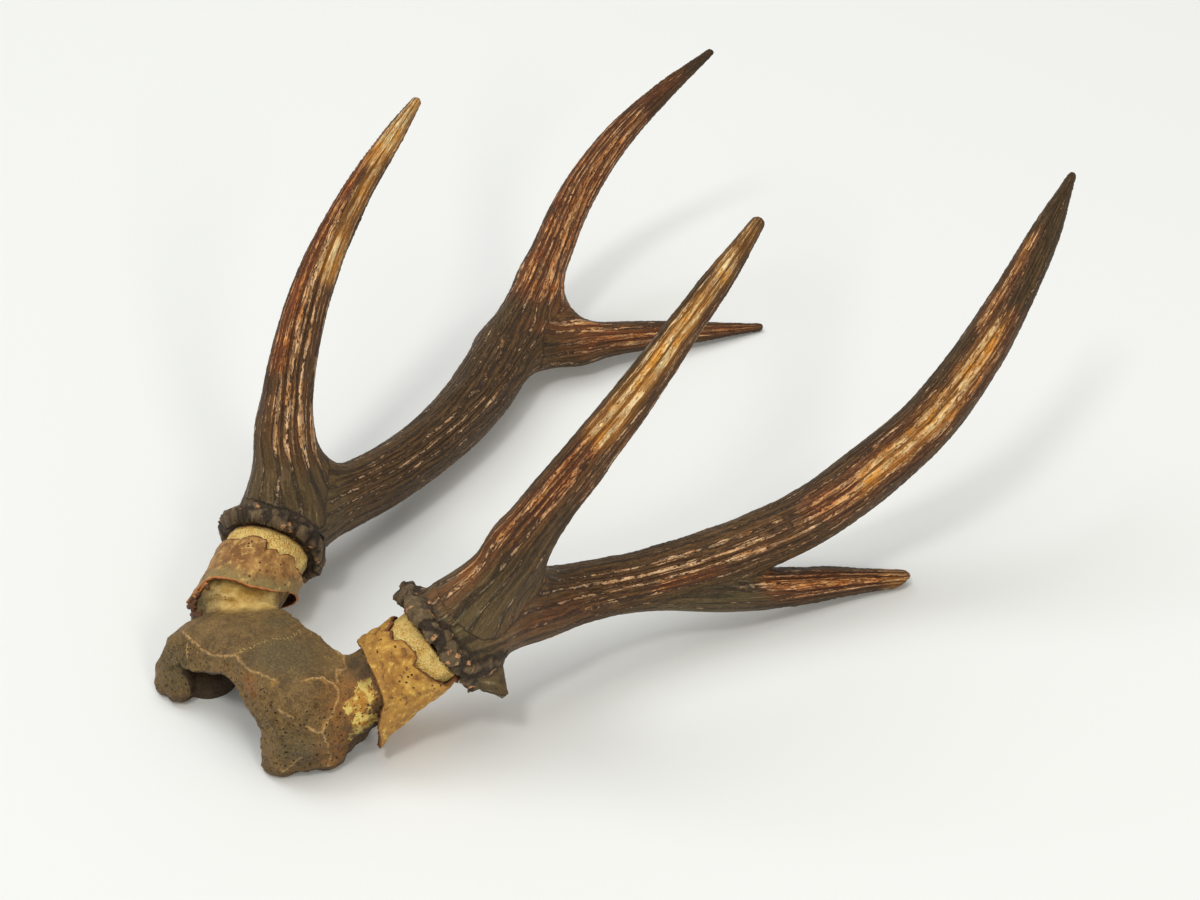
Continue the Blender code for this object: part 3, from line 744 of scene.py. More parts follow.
def antler_material():
    """Old weathered antler: a dark brown skin, worn on its ridges to the cream and orange bone beneath, with
    a satin polish where it was rubbed. Streaks are 1 to 2 mm wide and some tens of millimetres long."""
    material, tree, shader, *stored = new_material("weathered_antler", "lines", "wear", "zone")
    (sway, stray, strong), (golden, rusty, streaked), (olive, knob, fork) = stored
    burr = add(tree, "MapRange.SMOOTHSTEP", [knob, 0.08, 0.3])
    place = add(tree, "TexCoord").node.outputs["Object"]

    # the same ridges and ribs as the mesh has, 0 in the grooves and 1 on the crests
    run = add(tree, "Attribute", attribute_name="run").node.outputs["Vector"]
    across, up, along = add(tree, "SeparateXYZ", [run]).node.outputs[:3]
    turn = add(tree, "Math.ARCTAN2", [up, across])
    tine = add(tree, "Math.GREATER_THAN", [along, TINE_START - 10])
    crests = []
    for counts, shift in ((RIDGES, sway), (RIBS, stray)):
        count = add(tree, "MapRange", [tine, 0.0, 1.0, *counts])
        crest = add(tree, "Math.MULTIPLY_ADD", [turn, count, shift])
        crest = add(tree, "Math.SINE", [crest])
        crests.append(add(tree, "Math.MULTIPLY_ADD", [crest, 0.5, 0.5]))
    ridge, rib = crests

    # wavy coordinates along the branch, drawn out 12 times and 4 times
    wave = add(tree, "TexNoise", [place, 400.0, 2.0]).node.outputs["Color"]
    wave = add(tree, "VectorMath.SUBTRACT", [wave, (0.5, 0.5, 0.5)])
    wave = add(tree, "VectorMath.MULTIPLY", [wave, (1.8, 1.8, 4.0)])
    wavy = add(tree, "VectorMath.ADD", [run, wave])
    long = add(tree, "VectorMath.MULTIPLY", [wavy, (1, 1, 0.08)])
    short = add(tree, "VectorMath.MULTIPLY", [wavy, (1, 1, 0.25)])

    # grains of 0.8 mm fray the streaks' edges
    grain = add(tree, "TexNoise", [place, 1100.0, 2.0, 0.6])
    fray = add(tree, "TexNoise", [short, 0.9, 3.0, 0.65])
    fray = add(tree, "Math.MULTIPLY_ADD", [fray, 0.9, -0.45])

    # broad streaks on the crests of the ridges, closing up where the antler is worn, broken every 10 to 40 mm
    need = add(tree, "MapRange", [streaked, 0.1, 1.0, 1.05, 0.06])
    broad = add(tree, "Math.ADD", [ridge, fray])
    broad = add(tree, "Math.SUBTRACT", [broad, need])
    # painted shade lining the edges of each streak
    painted_streak_edge_shade = add(tree, "MapRange.SMOOTHSTEP", [broad, -0.4, -0.06])
    broad = add(tree, "MapRange.SMOOTHSTEP", [broad, 0.0, 0.14])
    gaps = add(tree, "TexNoise", [long, 0.5, 3.0, 0.6])
    lack = add(tree, "MapRange", [streaked, 0.0, 1.0, 0.58, 0.15])
    gaps = add(tree, "Math.SUBTRACT", [gaps, lack])
    gaps = add(tree, "MapRange.SMOOTHSTEP", [gaps, -0.03, 0.06])
    broad = add(tree, "Math.MULTIPLY", [broad, gaps])

    # thin streaks on the ribs between them
    thin = add(tree, "Math.MULTIPLY_ADD", [streaked, -0.75, 1.22])
    thin = add(tree, "Math.SUBTRACT", [rib, thin])
    thin = add(tree, "Math.ADD", [thin, fray])
    thin = add(tree, "MapRange.SMOOTHSTEP", [thin, 0.0, 0.16])
    streak = add(tree, "Math.MAXIMUM", [broad, thin])

    # hair-fine lengthwise grooves, 1 mm apart
    groove = add(tree, "TexNoise", [long, 1.15, 3.0, 0.6])
    groove = add(tree, "MapRange.SMOOTHSTEP", [groove, 0.36, 0.56])
    cut = add(tree, "MapRange", [golden, 0.2, 0.9, 0.25, 0.8])
    cut = add(tree, "MapRange", [groove, 0.0, 1.0, cut])

    # small dark pits left in the worn bone
    pits = add(tree, "TexNoise", [short, 1.1, 2.0, 0.5])
    pits = add(tree, "MapRange.SMOOTHSTEP", [pits, 0.36, 0.43])
    steady = add(tree, "Math.MULTIPLY_ADD", [fork, -0.3, 1.0])
    off_burr = add(tree, "Math.SUBTRACT", [1.0, burr])
    for part in (cut, pits, steady, off_burr):
        streak = add(tree, "Math.MULTIPLY", [streak, part])

    # dark skin, redder or more olive by place
    clouds = add(tree, "TexNoise", [place, 45.0, 4.0, 0.6])
    skin = add(tree, "Mix.RGBA", [clouds, "#4c3517", "#785b2f"])
    mossy = add(tree, "Math.MULTIPLY", [olive, 0.7])
    amber = add(tree, "MapRange.SMOOTHSTEP", [golden, 0.1, 0.8, 0.0, 0.85])
    for mask, paint in ((mossy, "#645536"), (rusty, "#94491a"), (amber, "#e2932c")):
        skin = add(tree, "Mix.RGBA", [mask, skin, paint])

    # darker between the ridges and in the fine grooves, with painted shade along the edges of the streaks,
    # all less so where polished or smooth
    polished = add(tree, "Math.MULTIPLY_ADD", [golden, -0.85, 1.0])
    smooth = add(tree, "Math.MULTIPLY_ADD", [olive, -0.92, 1.0])
    sunk = add(tree, "MapRange.SMOOTHSTEP", [ridge, 0.5, 0.0, 0.0, 0.35])
    for part in (polished, strong, smooth):
        sunk = add(tree, "Math.MULTIPLY", [sunk, part])
    rut = add(tree, "Math.MULTIPLY_ADD", [groove, -0.5, 0.5])
    rut = add(tree, "Math.MULTIPLY", [rut, smooth])
    deep = add(tree, "Mix.RGBA", [golden, "#1c1003", "#8c4a0e"])
    for part in (polished, 0.65):
        painted_streak_edge_shade = add(tree, "Math.MULTIPLY", [painted_streak_edge_shade, part])
    for mask, paint in ((sunk, "#2a1a0a"), (rut, deep), (painted_streak_edge_shade, "#1f130a")):
        skin = add(tree, "Mix.RGBA", [mask, skin, paint])

    # bare bone of the streaks: tan, orange where rusty, cream gold where polished
    tint = add(tree, "TexNoise", [short, 0.4, 2.0])
    tint = add(tree, "MapRange.SMOOTHSTEP", [tint, 0.35, 0.65])
    tan, orange, cream = [add(tree, "Mix.RGBA", [tint, dark, light]) for dark, light in (
        ("#ad8254", "#eec49a"), ("#ad5217", "#ea9a48"), ("#ffae3c", "#ffe8ac"))]
    bone = add(tree, "Mix.RGBA", [rusty, tan, orange])
    bone = add(tree, "Mix.RGBA", [golden, bone, cream])
    colour = add(tree, "Mix.RGBA", [streak, skin, bone])

    # hair-thin dark cracks that wind along the branch through skin and bare bone
    crack = add(tree, "Math.MULTIPLY_ADD", [fray, 0.55, ridge])
    crack = add(tree, "MapRange.SMOOTHSTEP", [crack, 0.16, 0.0, 0.0, 0.85])
    off_fork = add(tree, "Math.SUBTRACT", [1.0, fork])
    depth = 0.1
    for part, amount in ((streaked, 0.6), (strong, 0.4), (golden, -0.55), (olive, -0.8)):
        depth = add(tree, "Math.MULTIPLY_ADD", [part, amount, depth])
    depth.node.use_clamp = True
    for part in (off_fork, depth):
        crack = add(tree, "Math.MULTIPLY", [crack, part])
    colour = add(tree, "Mix.RGBA", [crack, colour, "#170e07"])

    # grey-green dashes on the crests of the root
    patchy = add(tree, "TexNoise", [place, 130.0, 2.0])
    patchy = add(tree, "MapRange.SMOOTHSTEP", [patchy, 0.46, 0.6])
    dash = add(tree, "Math.ADD", [rib, fray])
    dash = add(tree, "MapRange.SMOOTHSTEP", [dash, 0.75, 1.1])
    for part in (patchy, olive, 0.45):
        dash = add(tree, "Math.MULTIPLY", [dash, part])
    colour = add(tree, "Mix.RGBA", [dash, colour, "#97906e"])

    # the burr: painted shade in its creases, bared pink on some knobs
    ring = add(tree, "Mix.RGBA", [clouds, "#453424", "#86704e"])
    # painted shade in the burr's creases, where the knobs are low
    painted_crease_shade = add(tree, "MapRange.SMOOTHSTEP", [knob, 0.66, 0.36, 0.0, 0.85])
    ring = add(tree, "Mix.RGBA", [painted_crease_shade, ring, "#22160c"])
    bared = add(tree, "TexVoronoi", [place, 240.0])
    bared = add(tree, "Math.MULTIPLY_ADD", [grain, 0.5, bared])
    bared = add(tree, "MapRange.SMOOTHSTEP", [bared, 0.58, 0.48])
    bared = add(tree, "Math.MULTIPLY", [bared, patchy])
    ring = add(tree, "Mix.RGBA", [bared, ring, "#cf9768"])
    colour = add(tree, "Mix.RGBA", [burr, colour, ring])

    gloss = add(tree, "MapRange", [streak, 0.0, 1.0, 0.56, 0.42])
    gloss = add(tree, "Math.MULTIPLY_ADD", [golden, -0.16, gloss])
    finish_shader(shader, colour, gloss, (grain, (streak, 0.6), (groove, 1.5), (dash, 0.8), (crack, -1.2)),
                  bump=(0.9, 0.4 * MM), ior=1.54, specular=0.3)
    return material


class OBJECT_OT_antlers(bpy.types.Operator):
    """Build both antlers, each as one seamless bone"""

    bl_idname = "object.deer_antlers"
    bl_label = "Antlers"

    def execute(self, context):
        sizes = context.scene.antler_sizes
        material = antler_material()
        cell = sizes.cell
        for side in ("left", "right"):
            item, antler = rough_antler(side, cell)
            carve(side, item, antler, sizes)
            finish_piece(item, material, [f"{side}_beam", f"{side}_brow_tine", f"{side}_rear_tine"])
        return {"FINISHED"}


# ---------------------------------------------------------------- skull plate


def sheet(name, across, along, place):
    """A grid whose points are placed by a function of their two fractions across and along."""
    pick()
    bpy.ops.mesh.primitive_grid_add(x_subdivisions=across, y_subdivisions=along, size=2)
    item = bpy.context.object
    item.name = name
    fractions = (get_points(item)[:, :2] * MM + 1) / 2
    set_points(item, place(fractions[:, 0], fractions[:, 1]))
    return item


def roof_point(across, along):
    """The skin of the skull roof, smooth through its arches."""
    fractions = np.linspace(0, 1, 181)
    arches = [smooth_path([(*p, 0) for p in arch]) for arch in ROOF_ARCHES]
    arches = [rows_at(arch, fractions * lengths(arch)[-1]) for arch in arches]
    points = np.empty((len(across), 3))
    for column in np.unique(across.round(6)):
        chosen = abs(across - column) < 1e-5
        stops = np.array([[np.interp(column, fractions, arch[:, k]) for k in range(3)] for arch in arches])
        line = smooth_path(np.c_[stops + ORIGIN, np.zeros(len(stops))])
        points[chosen] = rows_at(line, along[chosen] * lengths(line)[-1])[:, :3]
    return points


def ball(name, centre, half_sizes):
    """A lump of bone."""
    pick()
    bpy.ops.mesh.primitive_uv_sphere_add(segments=32, ring_count=18, radius=1)
    item = bpy.context.object
    item.name = name
    set_points(item, get_points(item) * MM * half_sizes + np.array(centre) - ORIGIN)
    return item


def drop_bubbles(item):
    """Delete the small closed shells that remeshing leaves inside the bone."""
    pick(item)
    item.data.vertices[int(get_points(item)[:, 2].argmax())].select = True
    bpy.ops.object.mode_set(mode="EDIT")
    bpy.ops.mesh.select_mode(type="VERT")
    bpy.ops.mesh.select_linked()
    bpy.ops.mesh.select_all(action="INVERT")
    bpy.ops.mesh.delete(type="VERT")
    bpy.ops.object.mode_set(mode="OBJECT")


def cut_flat(item, point, normal):
    """Cut off what lies beyond a plane and close the cut."""
    pick(item)
    bpy.ops.object.mode_set(mode="EDIT")
    bpy.ops.mesh.select_all(action="SELECT")
    bpy.ops.mesh.bisect(plane_co=point * MM, plane_no=normal, use_fill=True, clear_outer=True)
    bpy.ops.object.mode_set(mode="OBJECT")


def distance_to_lines(points, lines, surface):
    """Distance of points to lines that are first dropped on to the surface, in millimetres."""
    nearest = np.full(len(points), FAR)
    for line in lines:
        dense = even_rows(np.c_[np.array(line, float), np.zeros(len(line))], 0.6)[:, :3]
        dense = dense + 0.7 * np.stack([noise_at(dense + k * 31, 1.5) for k in range(3)], axis=1)
        dropped = np.array([surface.find_nearest(p * MM)[0] for p in dense]) / MM
        close = np.linalg.norm(points - dropped.mean(0), axis=1) < np.ptp(dropped, axis=0).sum() + 6
        gap = np.linalg.norm(points[close][:, None] - dropped[None], axis=2).min(1)
        nearest[close] = np.minimum(nearest[close], gap)
    return nearest


def patch_field(points, kind):
    """How much of the patches of one kind reaches each point."""
    field = np.zeros(len(points))
    for name, centre, radius in PATCHES:
        if name == kind:
            gap = np.linalg.norm(points - np.array(centre), axis=1) / radius
            field = np.maximum(field, np.clip(1.5 * (1 - gap), 0, 1))
    return field


def shape_skull(item):
    """Lumps, pits, pores and sutures of the skull bone, and the marks that its material reads."""
    points = get_points(item)
    normals = get_vectors(item, "normal")
    surface = BVHTree.FromPolygons([tuple(p) for p in points * MM],
                                   [tuple(f.vertices) for f in item.data.polygons])
    seam = distance_to_lines(points, SUTURES, surface)
    crumbs = distance_to_lines(points, [CRUMBLY_SEAM], surface)

    # distance from the burr on the two pedicles
    band = np.full(len(points), FAR)
    for antler in map(Antler, BRANCHES):
        offset = points - antler.seat
        height = -(offset @ antler.axis)
        reach = np.linalg.norm(offset + height[:, None] * antler.axis, axis=1)
        band = np.where(reach < BURR_RADIUS + 1, np.minimum(band, height), band)
    neck = band < NECK_LENGTH

    # the front face, the corners and the under side are spongy; the top is smoother
    height = points[:, 2]
    top = ease(normals[:, 2], 0.45, 0.8)
    spongy = np.clip((1 - top) * 0.9 + 0.15, 0, 1) * (~neck)

    # painted shade: darker where the bone faces down, near the floor and under the roof; also darker in some
    # patches
    upward = Vector((0, 0, 1))
    starts = (points + 4 * normals) * MM
    roofed = np.array([surface.ray_cast(Vector(p), upward)[0] is not None for p in starts.tolist()])
    inside = ease(-normals[:, 2], 0.0, 0.45) * (height > 3)
    for shade in (0.45 * (1 - ease(height, 1, 11)), roofed & ~neck, 0.9 * patch_field(points, "dark")):
        inside = np.maximum(inside, shade)

    coarse = noise_at(points, 8.0)
    medium = noise_at(points + 70, 3.6)
    small = noise_at(points + 140, 1.9)
    relief = (0.5 + 0.5 * spongy) * coarse + (0.16 + 0.4 * spongy) * medium + (0.05 + 0.26 * spongy) * small
    relief -= 0.6 * spongy * (pebbles_at(points, 2.6) > 0.86)
    relief = np.where(neck, 0.25 * coarse + 0.2 * small, relief)
    relief += 0.4 * np.exp(-(seam / 0.75) ** 2) - 0.2 * np.exp(-((seam - 2.0) / 0.8) ** 2)
    relief += (0.5 * medium + 0.4 * small - 0.2) * np.exp(-(crumbs / 1.8) ** 2)
    for x, y, z, radius in PORES:
        gap = np.linalg.norm(points - np.array((x, y, z)), axis=1)
        relief -= 1.7 * np.exp(-(gap / (radius + 0.35)) ** 2)
    relief += 0.7 * np.exp(-(seam / 3.0) ** 2) * (~neck)
    keep = ease(height, 0.3, 2.0) * ease(band, 0.5, 2.5)
    set_points(item, points + normals * (relief * keep)[:, None])

    cream = np.maximum(patch_field(points, "cream"), 1 - ease(band, 12, 32))
    patches = [patch_field(points, kind) for kind in ("yellow", "red", "grey")]
    # the parts mark carries the cream, the distance from the burr, and the painted shade with the dark
    # patches
    for name, values in (("marks", [seam, crumbs, spongy]), ("patches", patches),
                         ("parts", [cream, np.minimum(band, 60), inside])):
        set_attribute(item, name, np.stack(values, axis=1))


def bone_material():
    """Old skull bone: olive brown and pitted, with pale raised seams, granular yellow bone by the burrs."""
    material, tree, shader, *stored = new_material("old_skull_bone", "marks", "patches", "parts")
    (seam, crumbs, spongy), (yellow, red, grey), (cream, band, inside) = stored
    place = add(tree, "TexCoord").node.outputs["Object"]

    clouds, stains, grain = [add(tree, "TexNoise", [place, *numbers]) for numbers in (
        (90.0, 5.0, 0.65), (260.0, 4.0, 0.7), (1300.0, 3.0, 0.65))]
    clouds = add(tree, "MapRange.SMOOTHSTEP", [clouds, 0.32, 0.68])
    colour = add(tree, "Mix.RGBA", [clouds, "#594220", "#806336"])
    mottle = add(tree, "MapRange.SMOOTHSTEP", [stains, 0.4, 0.66, 0.0, 0.5])
    ruddy = add(tree, "MapRange.SMOOTHSTEP", [stains, 0.3, 0.6, 0.15, 1.0])
    ruddy = add(tree, "Math.MULTIPLY", [ruddy, red])
    dark = add(tree, "MapRange.SMOOTHSTEP", [grain, 0.47, 0.36, 0.0, 0.5])
    light = add(tree, "MapRange.SMOOTHSTEP", [grain, 0.56, 0.66, 0.0, 0.5])
    fringe = add(tree, "Math.MULTIPLY_ADD", [stains, -22.0, seam])
    fringe = add(tree, "MapRange.SMOOTHSTEP", [fringe, -10.8, -12.8, 0.0, 0.6])
    for mask, paint in ((mottle, "#957640"), (grey, "#645433"), (ruddy, "#966128"), (dark, "#33240f"),
                        (light, "#ad8a4e"), (fringe, "#a97c3a")):
        colour = add(tree, "Mix.RGBA", [mask, colour, paint])

    # smooth cream bone under the cuffs, fading into the brown
    pale = add(tree, "Math.MULTIPLY_ADD", [stains, 0.9, -0.45])
    pale = add(tree, "Math.ADD", [pale, cream])
    pale = add(tree, "MapRange.SMOOTHSTEP", [pale, 0.1, 0.95])
    creamy = add(tree, "Mix.RGBA", [clouds, "#b08438", "#e6c67a"])
    colour = add(tree, "Mix.RGBA", [pale, colour, creamy])

    # granular band between burr and hide: yellow grains of 1 mm with brown between them
    grains = add(tree, "TexVoronoi", [place, 1000.0])
    grains = add(tree, "MapRange.SMOOTHSTEP", [grains, 0.9, 0.1])
    bright = add(tree, "Math.MULTIPLY_ADD", [grains, 0.3, -0.28])
    bright = add(tree, "Math.MULTIPLY_ADD", [stains, 2.0, bright])
    bright = add(tree, "MapRange.SMOOTHSTEP", [bright, 0.3, 1.05])
    crust = add(tree, "Mix.RGBA", [bright, "#dc9c40", "#ffdc84"])
    near = add(tree, "MapRange.SMOOTHSTEP", [band, 16.0, 12.0])
    under = add(tree, "MapRange.SMOOTHSTEP", [band, 2.6, 0.4])
    for mask, paint in ((near, crust), (under, "#5a3018")):
        colour = add(tree, "Mix.RGBA", [mask, colour, paint])

    # crumbled yellow patches with sharp edges
    flaky = -1.55
    for part, amount in ((stains, 3.0), (grain, 1.2), (yellow, 2.2)):
        flaky = add(tree, "Math.MULTIPLY_ADD", [part, amount, flaky])
    flaky = add(tree, "MapRange.SMOOTHSTEP", [flaky, 1.75, 2.0])
    ochre = add(tree, "MapRange.SMOOTHSTEP", [stains, 0.44, 0.58])
    ochre = add(tree, "Mix.RGBA", [ochre, "#bd842f", "#e6ca6e"])
    colour = add(tree, "Mix.RGBA", [flaky, colour, ochre])

    # seams: a pale line 1 mm wide, brighter and dimmer along its length
    line = add(tree, "Math.MULTIPLY_ADD", [grain, 1.6, seam])
    line = add(tree, "MapRange.SMOOTHSTEP", [line, 1.55, 1.0])
    dim = add(tree, "MapRange", [stains, 0.36, 0.55, 0.3, 0.95])
    line = add(tree, "Math.MULTIPLY", [line, dim])
    flecks = add(tree, "Math.MULTIPLY_ADD", [grain, -9.0, crumbs])
    flecks = add(tree, "MapRange.SMOOTHSTEP", [flecks, -4.1, -5.0])

    # small dark pits, larger where the bone is spongy
    pits = add(tree, "TexVoronoi", [place, 520.0])
    reach = add(tree, "MapRange", [spongy, 0.0, 1.0, 0.08, 0.21])
    pits = add(tree, "Math.SUBTRACT", [pits, reach])
    pits = add(tree, "MapRange.SMOOTHSTEP", [pits, 0.05, -0.08])
    open_here = add(tree, "MapRange.SMOOTHSTEP", [stains, 0.36, 0.5])
    pits = add(tree, "Math.MULTIPLY", [pits, open_here])
    # painted shade: the inside mark darkens the bone where it faces down, near the floor and under the roof,
    # and in the dark patches
    shade = add(tree, "Math.MULTIPLY", [inside, 0.8])
    for mask, paint in ((line, "#cba368"), (flecks, "#b99a5c"), (pits, "#2c1f10"), (shade, "#2e2013")):
        colour = add(tree, "Mix.RGBA", [mask, colour, paint])

    crusty = add(tree, "Math.MULTIPLY", [near, grains])
    gloss = add(tree, "MapRange", [grain, 0.3, 0.7, 0.5, 0.68])
    finish_shader(shader, colour, gloss, (grain, (pits, -1.6), (stains, 0.8), (line, 0.7), (crusty, 1.2)),
                  bump=(1.0, 0.6 * MM), ior=1.5, specular=0.4)
    return material


class OBJECT_OT_skull(bpy.types.Operator):
    """Build the sawn-off skull roof with its two pedicles"""

    bl_idname = "object.skull_plate"
    bl_label = "Skull plate"

    def execute(self, context):
        cell = context.scene.skull_sizes.cell
        roof = sheet("roof", 120, 36, roof_point)
        apply_modifier(roof, "SOLIDIFY", thickness=ROOF_THICKNESS * MM, offset=-1)
        pieces = [roof]
        for side, points in PEDICLES.items():
            rows = even_rows(smooth_path(points), 2.0)
            rows = np.vstack([rows, rows[-1] + (rows[-1] - rows[-2]) * (1, 1, 1, 0)])
            pieces.append(tube(f"{side}_pedicle", rows))
        pieces += [ball(f"lump_{i}", *lobe) for i, lobe in enumerate(LOBES)]
        skull = join("skull_bone", pieces)
        apply_modifier(skull, "REMESH", mode="VOXEL", voxel_size=cell, use_smooth_shade=True)
        apply_modifier(skull, "SMOOTH", factor=0.5, iterations=round(6 * MM / cell))
        drop_bubbles(skull)
        for antler in map(Antler, BRANCHES):
            cut_flat(skull, antler.seat - antler.axis * SEAT_GAP, antler.axis)
        cut_flat(skull, np.zeros(3), (0, 0, -1))
        shape_skull(skull)
        finish_piece(skull, bone_material(), ["skull_plate"])
        return {"FINISHED"}


# ---------------------------------------------------------------- sleeves of dried hide


def by_turn(table, degrees):
    """A value read from a table of (turn, value) that closes on itself."""
    turns, values = np.array(table, float).T
    turns = np.r_[turns[-1] - 360, turns, turns[0] + 360]
    values = np.r_[values[-1], values, values[0]]
    return np.interp(degrees % 360, turns, values)


def off_pedicle(side, distance, degrees, off):
    """Points at a distance from the burr seat, a turn round the pedicle and a height off it."""
    path = smooth_path(PEDICLES[side])
    place = lengths(path)[-1] - distance
    centre = rows_at(path, place)
    axis = unit(centre[:, :3] - rows_at(path, place - 1)[:, :3])
    across = unit(np.cross(axis, (0, 0, 1)))
    up = np.cross(across, axis)
    turn = np.radians(degrees)
    out = np.cos(turn)[:, None] * across + np.sin(turn)[:, None] * up
    beyond = np.clip(-distance, 0, None)
    return centre[:, :3] + axis * beyond[:, None] + out * (centre[:, 3] + off)[:, None]


def make_sleeve(side, fine):
    """A ragged sleeve of hide that has dried hard on the pedicle and lifts at its edges, with its shreds."""
    table = SLEEVES[side]
    around, down = (220, 56) if fine else (110, 28)

    def place(across, along):
        degrees = across * 360
        turn = np.radians(degrees)
        circle = np.stack([np.cos(turn), np.sin(turn), along * 0], axis=1) * PEDICLE_RADIUS
        shift = 0 if side == "left" else 60
        rag = noise_at(circle + shift, 3.0) * 0.7 + noise_at(circle + shift + 30, 1.3) * 0.8
        start = by_turn(table["burr_edge"], degrees) + 0.9 * rag
        stop = by_turn(table["skull_edge"], degrees) + 0.8 * rag * (1 if side == "right" else 0.7)
        distance = start + (stop - start) * along
        spot = np.c_[circle[:, :2], distance] + shift
        lift = by_turn(table["lift"], degrees) * along ** 3
        thin = 0.7 * ease(1 - along, 0.9, 1.0)
        lumps = 0.5 * noise_at(spot, 7.0) + 0.35 * noise_at(spot, 2.4)
        if side == "right":
            lumps = lumps + 1.5 * np.clip(noise_at(spot, 4.0), 0, 1) * ease(along, 0.1, 0.4)
        return off_pedicle(side, distance, degrees, HIDE_CLEARANCE + lift - thin + lumps)

    item = sheet(f"{side}_hide", around, down, place)
    pick(item)
    bpy.ops.object.mode_set(mode="EDIT")
    bpy.ops.mesh.select_all(action="SELECT")
    bpy.ops.mesh.remove_doubles(threshold=0.02 * MM)
    bpy.ops.mesh.normals_make_consistent(inside=False)
    bpy.ops.object.mode_set(mode="OBJECT")
    apply_modifier(item, "SOLIDIFY", thickness=HIDE_THICKNESS * MM, offset=1, use_even_offset=True)
    shreds = []
    for index, (degrees, distance, size) in enumerate(table["shreds"]):
        steps = np.linspace(-1, 1, 9)
        jitter = noise_at(np.c_[steps * 4, steps * 0 + 7 * index, steps * 0], 1.0)
        turns = degrees + (9 * steps + 8 * jitter) * (1 if index % 2 else -1)
        off = 0.3 + 0.3 * size * (1 - steps ** 2) + 0.9 * jitter
        rows = off_pedicle(side, distance + 3.2 * steps, turns, off)
        radii = size * (0.4 + 0.2 * jitter) * np.sqrt(1.15 - steps ** 2)
        shreds.append(tube(f"{side}_shred", np.c_[rows, radii]))
    return join(item.name, [item, *shreds]) if shreds else item


def hide_marks(item, side):
    """Tell the material how far each point is from both edges, and which side of the hide it is."""
    points = get_points(item)
    normals = get_vectors(item, "normal")
    rows = even_rows(smooth_path(PEDICLES[side]), 0.5)
    along = lengths(rows)
    nearest = ((points[:, None] - rows[None, :, :3]) ** 2).sum(2).argmin(1)
    axis = unit(np.gradient(rows[:, :3], axis=0))[nearest]
    across = unit(np.cross(axis, (0, 0, 1)))
    up = np.cross(across, axis)
    offset = points - rows[nearest, :3]
    degrees = np.degrees(np.arctan2((offset * up).sum(1), (offset * across).sum(1)))
    distance = along[-1] - along[nearest] - (offset * axis).sum(1)
    from_burr = distance - by_turn(SLEEVES[side]["burr_edge"], degrees)
    from_skull = by_turn(SLEEVES[side]["skull_edge"], degrees) - distance
    # shreds hang past the edge: they are dark and show no cut
    shred = from_skull < -1.5
    outward = unit(offset - axis * (offset * axis).sum(1)[:, None])
    inner = np.maximum(ease(-(normals * outward).sum(1), 0.0, 0.6), 0.9 * shred)
    from_skull = np.where(shred, 9.0, from_skull)
    set_attribute(item, "edges", np.stack([from_burr, from_skull, inner], axis=1))


def hide_material(side):
    """Hide dried to parchment: brown and scuffed on the left; golden, lumpy and pitted on the right."""
    material, tree, shader, (from_burr, from_skull, inner) = new_material(f"dried_hide_{side}", "edges")
    place = add(tree, "TexCoord").node.outputs["Object"]
    clouds, stains, grain = [add(tree, "TexNoise", [place, *numbers]) for numbers in (
        (150.0, 4.0, 0.6), (300.0, 5.0, 0.65), (1500.0, 3.0, 0.65))]
    if side == "left":
        dark, light, edge, scuffed = "#855724", "#b98848", "#93804c", "#d9b268"
    else:
        dark, light, edge, scuffed = "#a06c26", "#d09c42", "#b07f36", "#e8bf5e"
    mixed = add(tree, "MapRange.SMOOTHSTEP", [clouds, 0.36, 0.62])
    colour = add(tree, "Mix.RGBA", [mixed, dark, light])
    low = add(tree, "Math.MULTIPLY_ADD", [clouds, 8.0, from_skull])
    low = add(tree, "MapRange.SMOOTHSTEP", [low, 15.0, 6.0, 0.0, 0.85])

    # pale scuffs and lumps of dried fat
    scuffs = add(tree, "MapRange.SMOOTHSTEP", [stains, 0.54, 0.66, 0.0, 0.9])
    dents = add(tree, "MapRange.SMOOTHSTEP", [stains, 0.42, 0.34, 0.0, 0.75])
    speck = add(tree, "MapRange.SMOOTHSTEP", [grain, 0.62, 0.7, 0.0, 0.8])

    # pores of 1 mm where hairs were, in loose groups
    pores = add(tree, "TexVoronoi", [place, 380.0])
    pores = add(tree, "MapRange.SMOOTHSTEP", [pores, 0.24, 0.14])
    grouped = add(tree, "MapRange.SMOOTHSTEP", [clouds, 0.5, 0.56])
    pores = add(tree, "Math.MULTIPLY", [pores, grouped])

    # the torn edges are darker, the left one shows an orange cut, and the inside is dark red brown
    torn = add(tree, "Math.MINIMUM", [from_burr, from_skull])
    torn = add(tree, "Math.MULTIPLY_ADD", [grain, 0.8, torn])
    torn = add(tree, "MapRange.SMOOTHSTEP", [torn, 1.3, 0.6])
    layers = [(low, edge), (scuffs, scuffed), (dents, "#74481e"), (speck, "#dcb878"), (pores, "#4a2a12"),
              (torn, "#7c4c20")]
    if side == "left":
        cut = add(tree, "MapRange.SMOOTHSTEP", [from_skull, 1.1, 0.5])
        layers.append((cut, "#cb8046"))
    for mask, paint in (*layers, (inner, "#4f2811")):
        colour = add(tree, "Mix.RGBA", [mask, colour, paint])

    gloss = add(tree, "MapRange", [stains, 0.3, 0.7, 0.42, 0.62])
    finish_shader(shader, colour, gloss, (grain, (pores, -1.2), (stains, 1.5)),
                  bump=(0.9, 0.6 * MM), ior=1.5, specular=0.4)
    return material


class OBJECT_OT_sleeves(bpy.types.Operator):
    """Wrap both pedicles in their torn sleeves of dried hide"""

    bl_idname = "object.hide_sleeves"
    bl_label = "Sleeves of dried hide"

    def execute(self, context):
        for side in BRANCHES:
            item = make_sleeve(side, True)
            hide_marks(item, side)
            finish_piece(item, hide_material(side), [f"{side}_pedicle_skin"])
        return {"FINISHED"}


# ---------------------------------------------------------------- stage


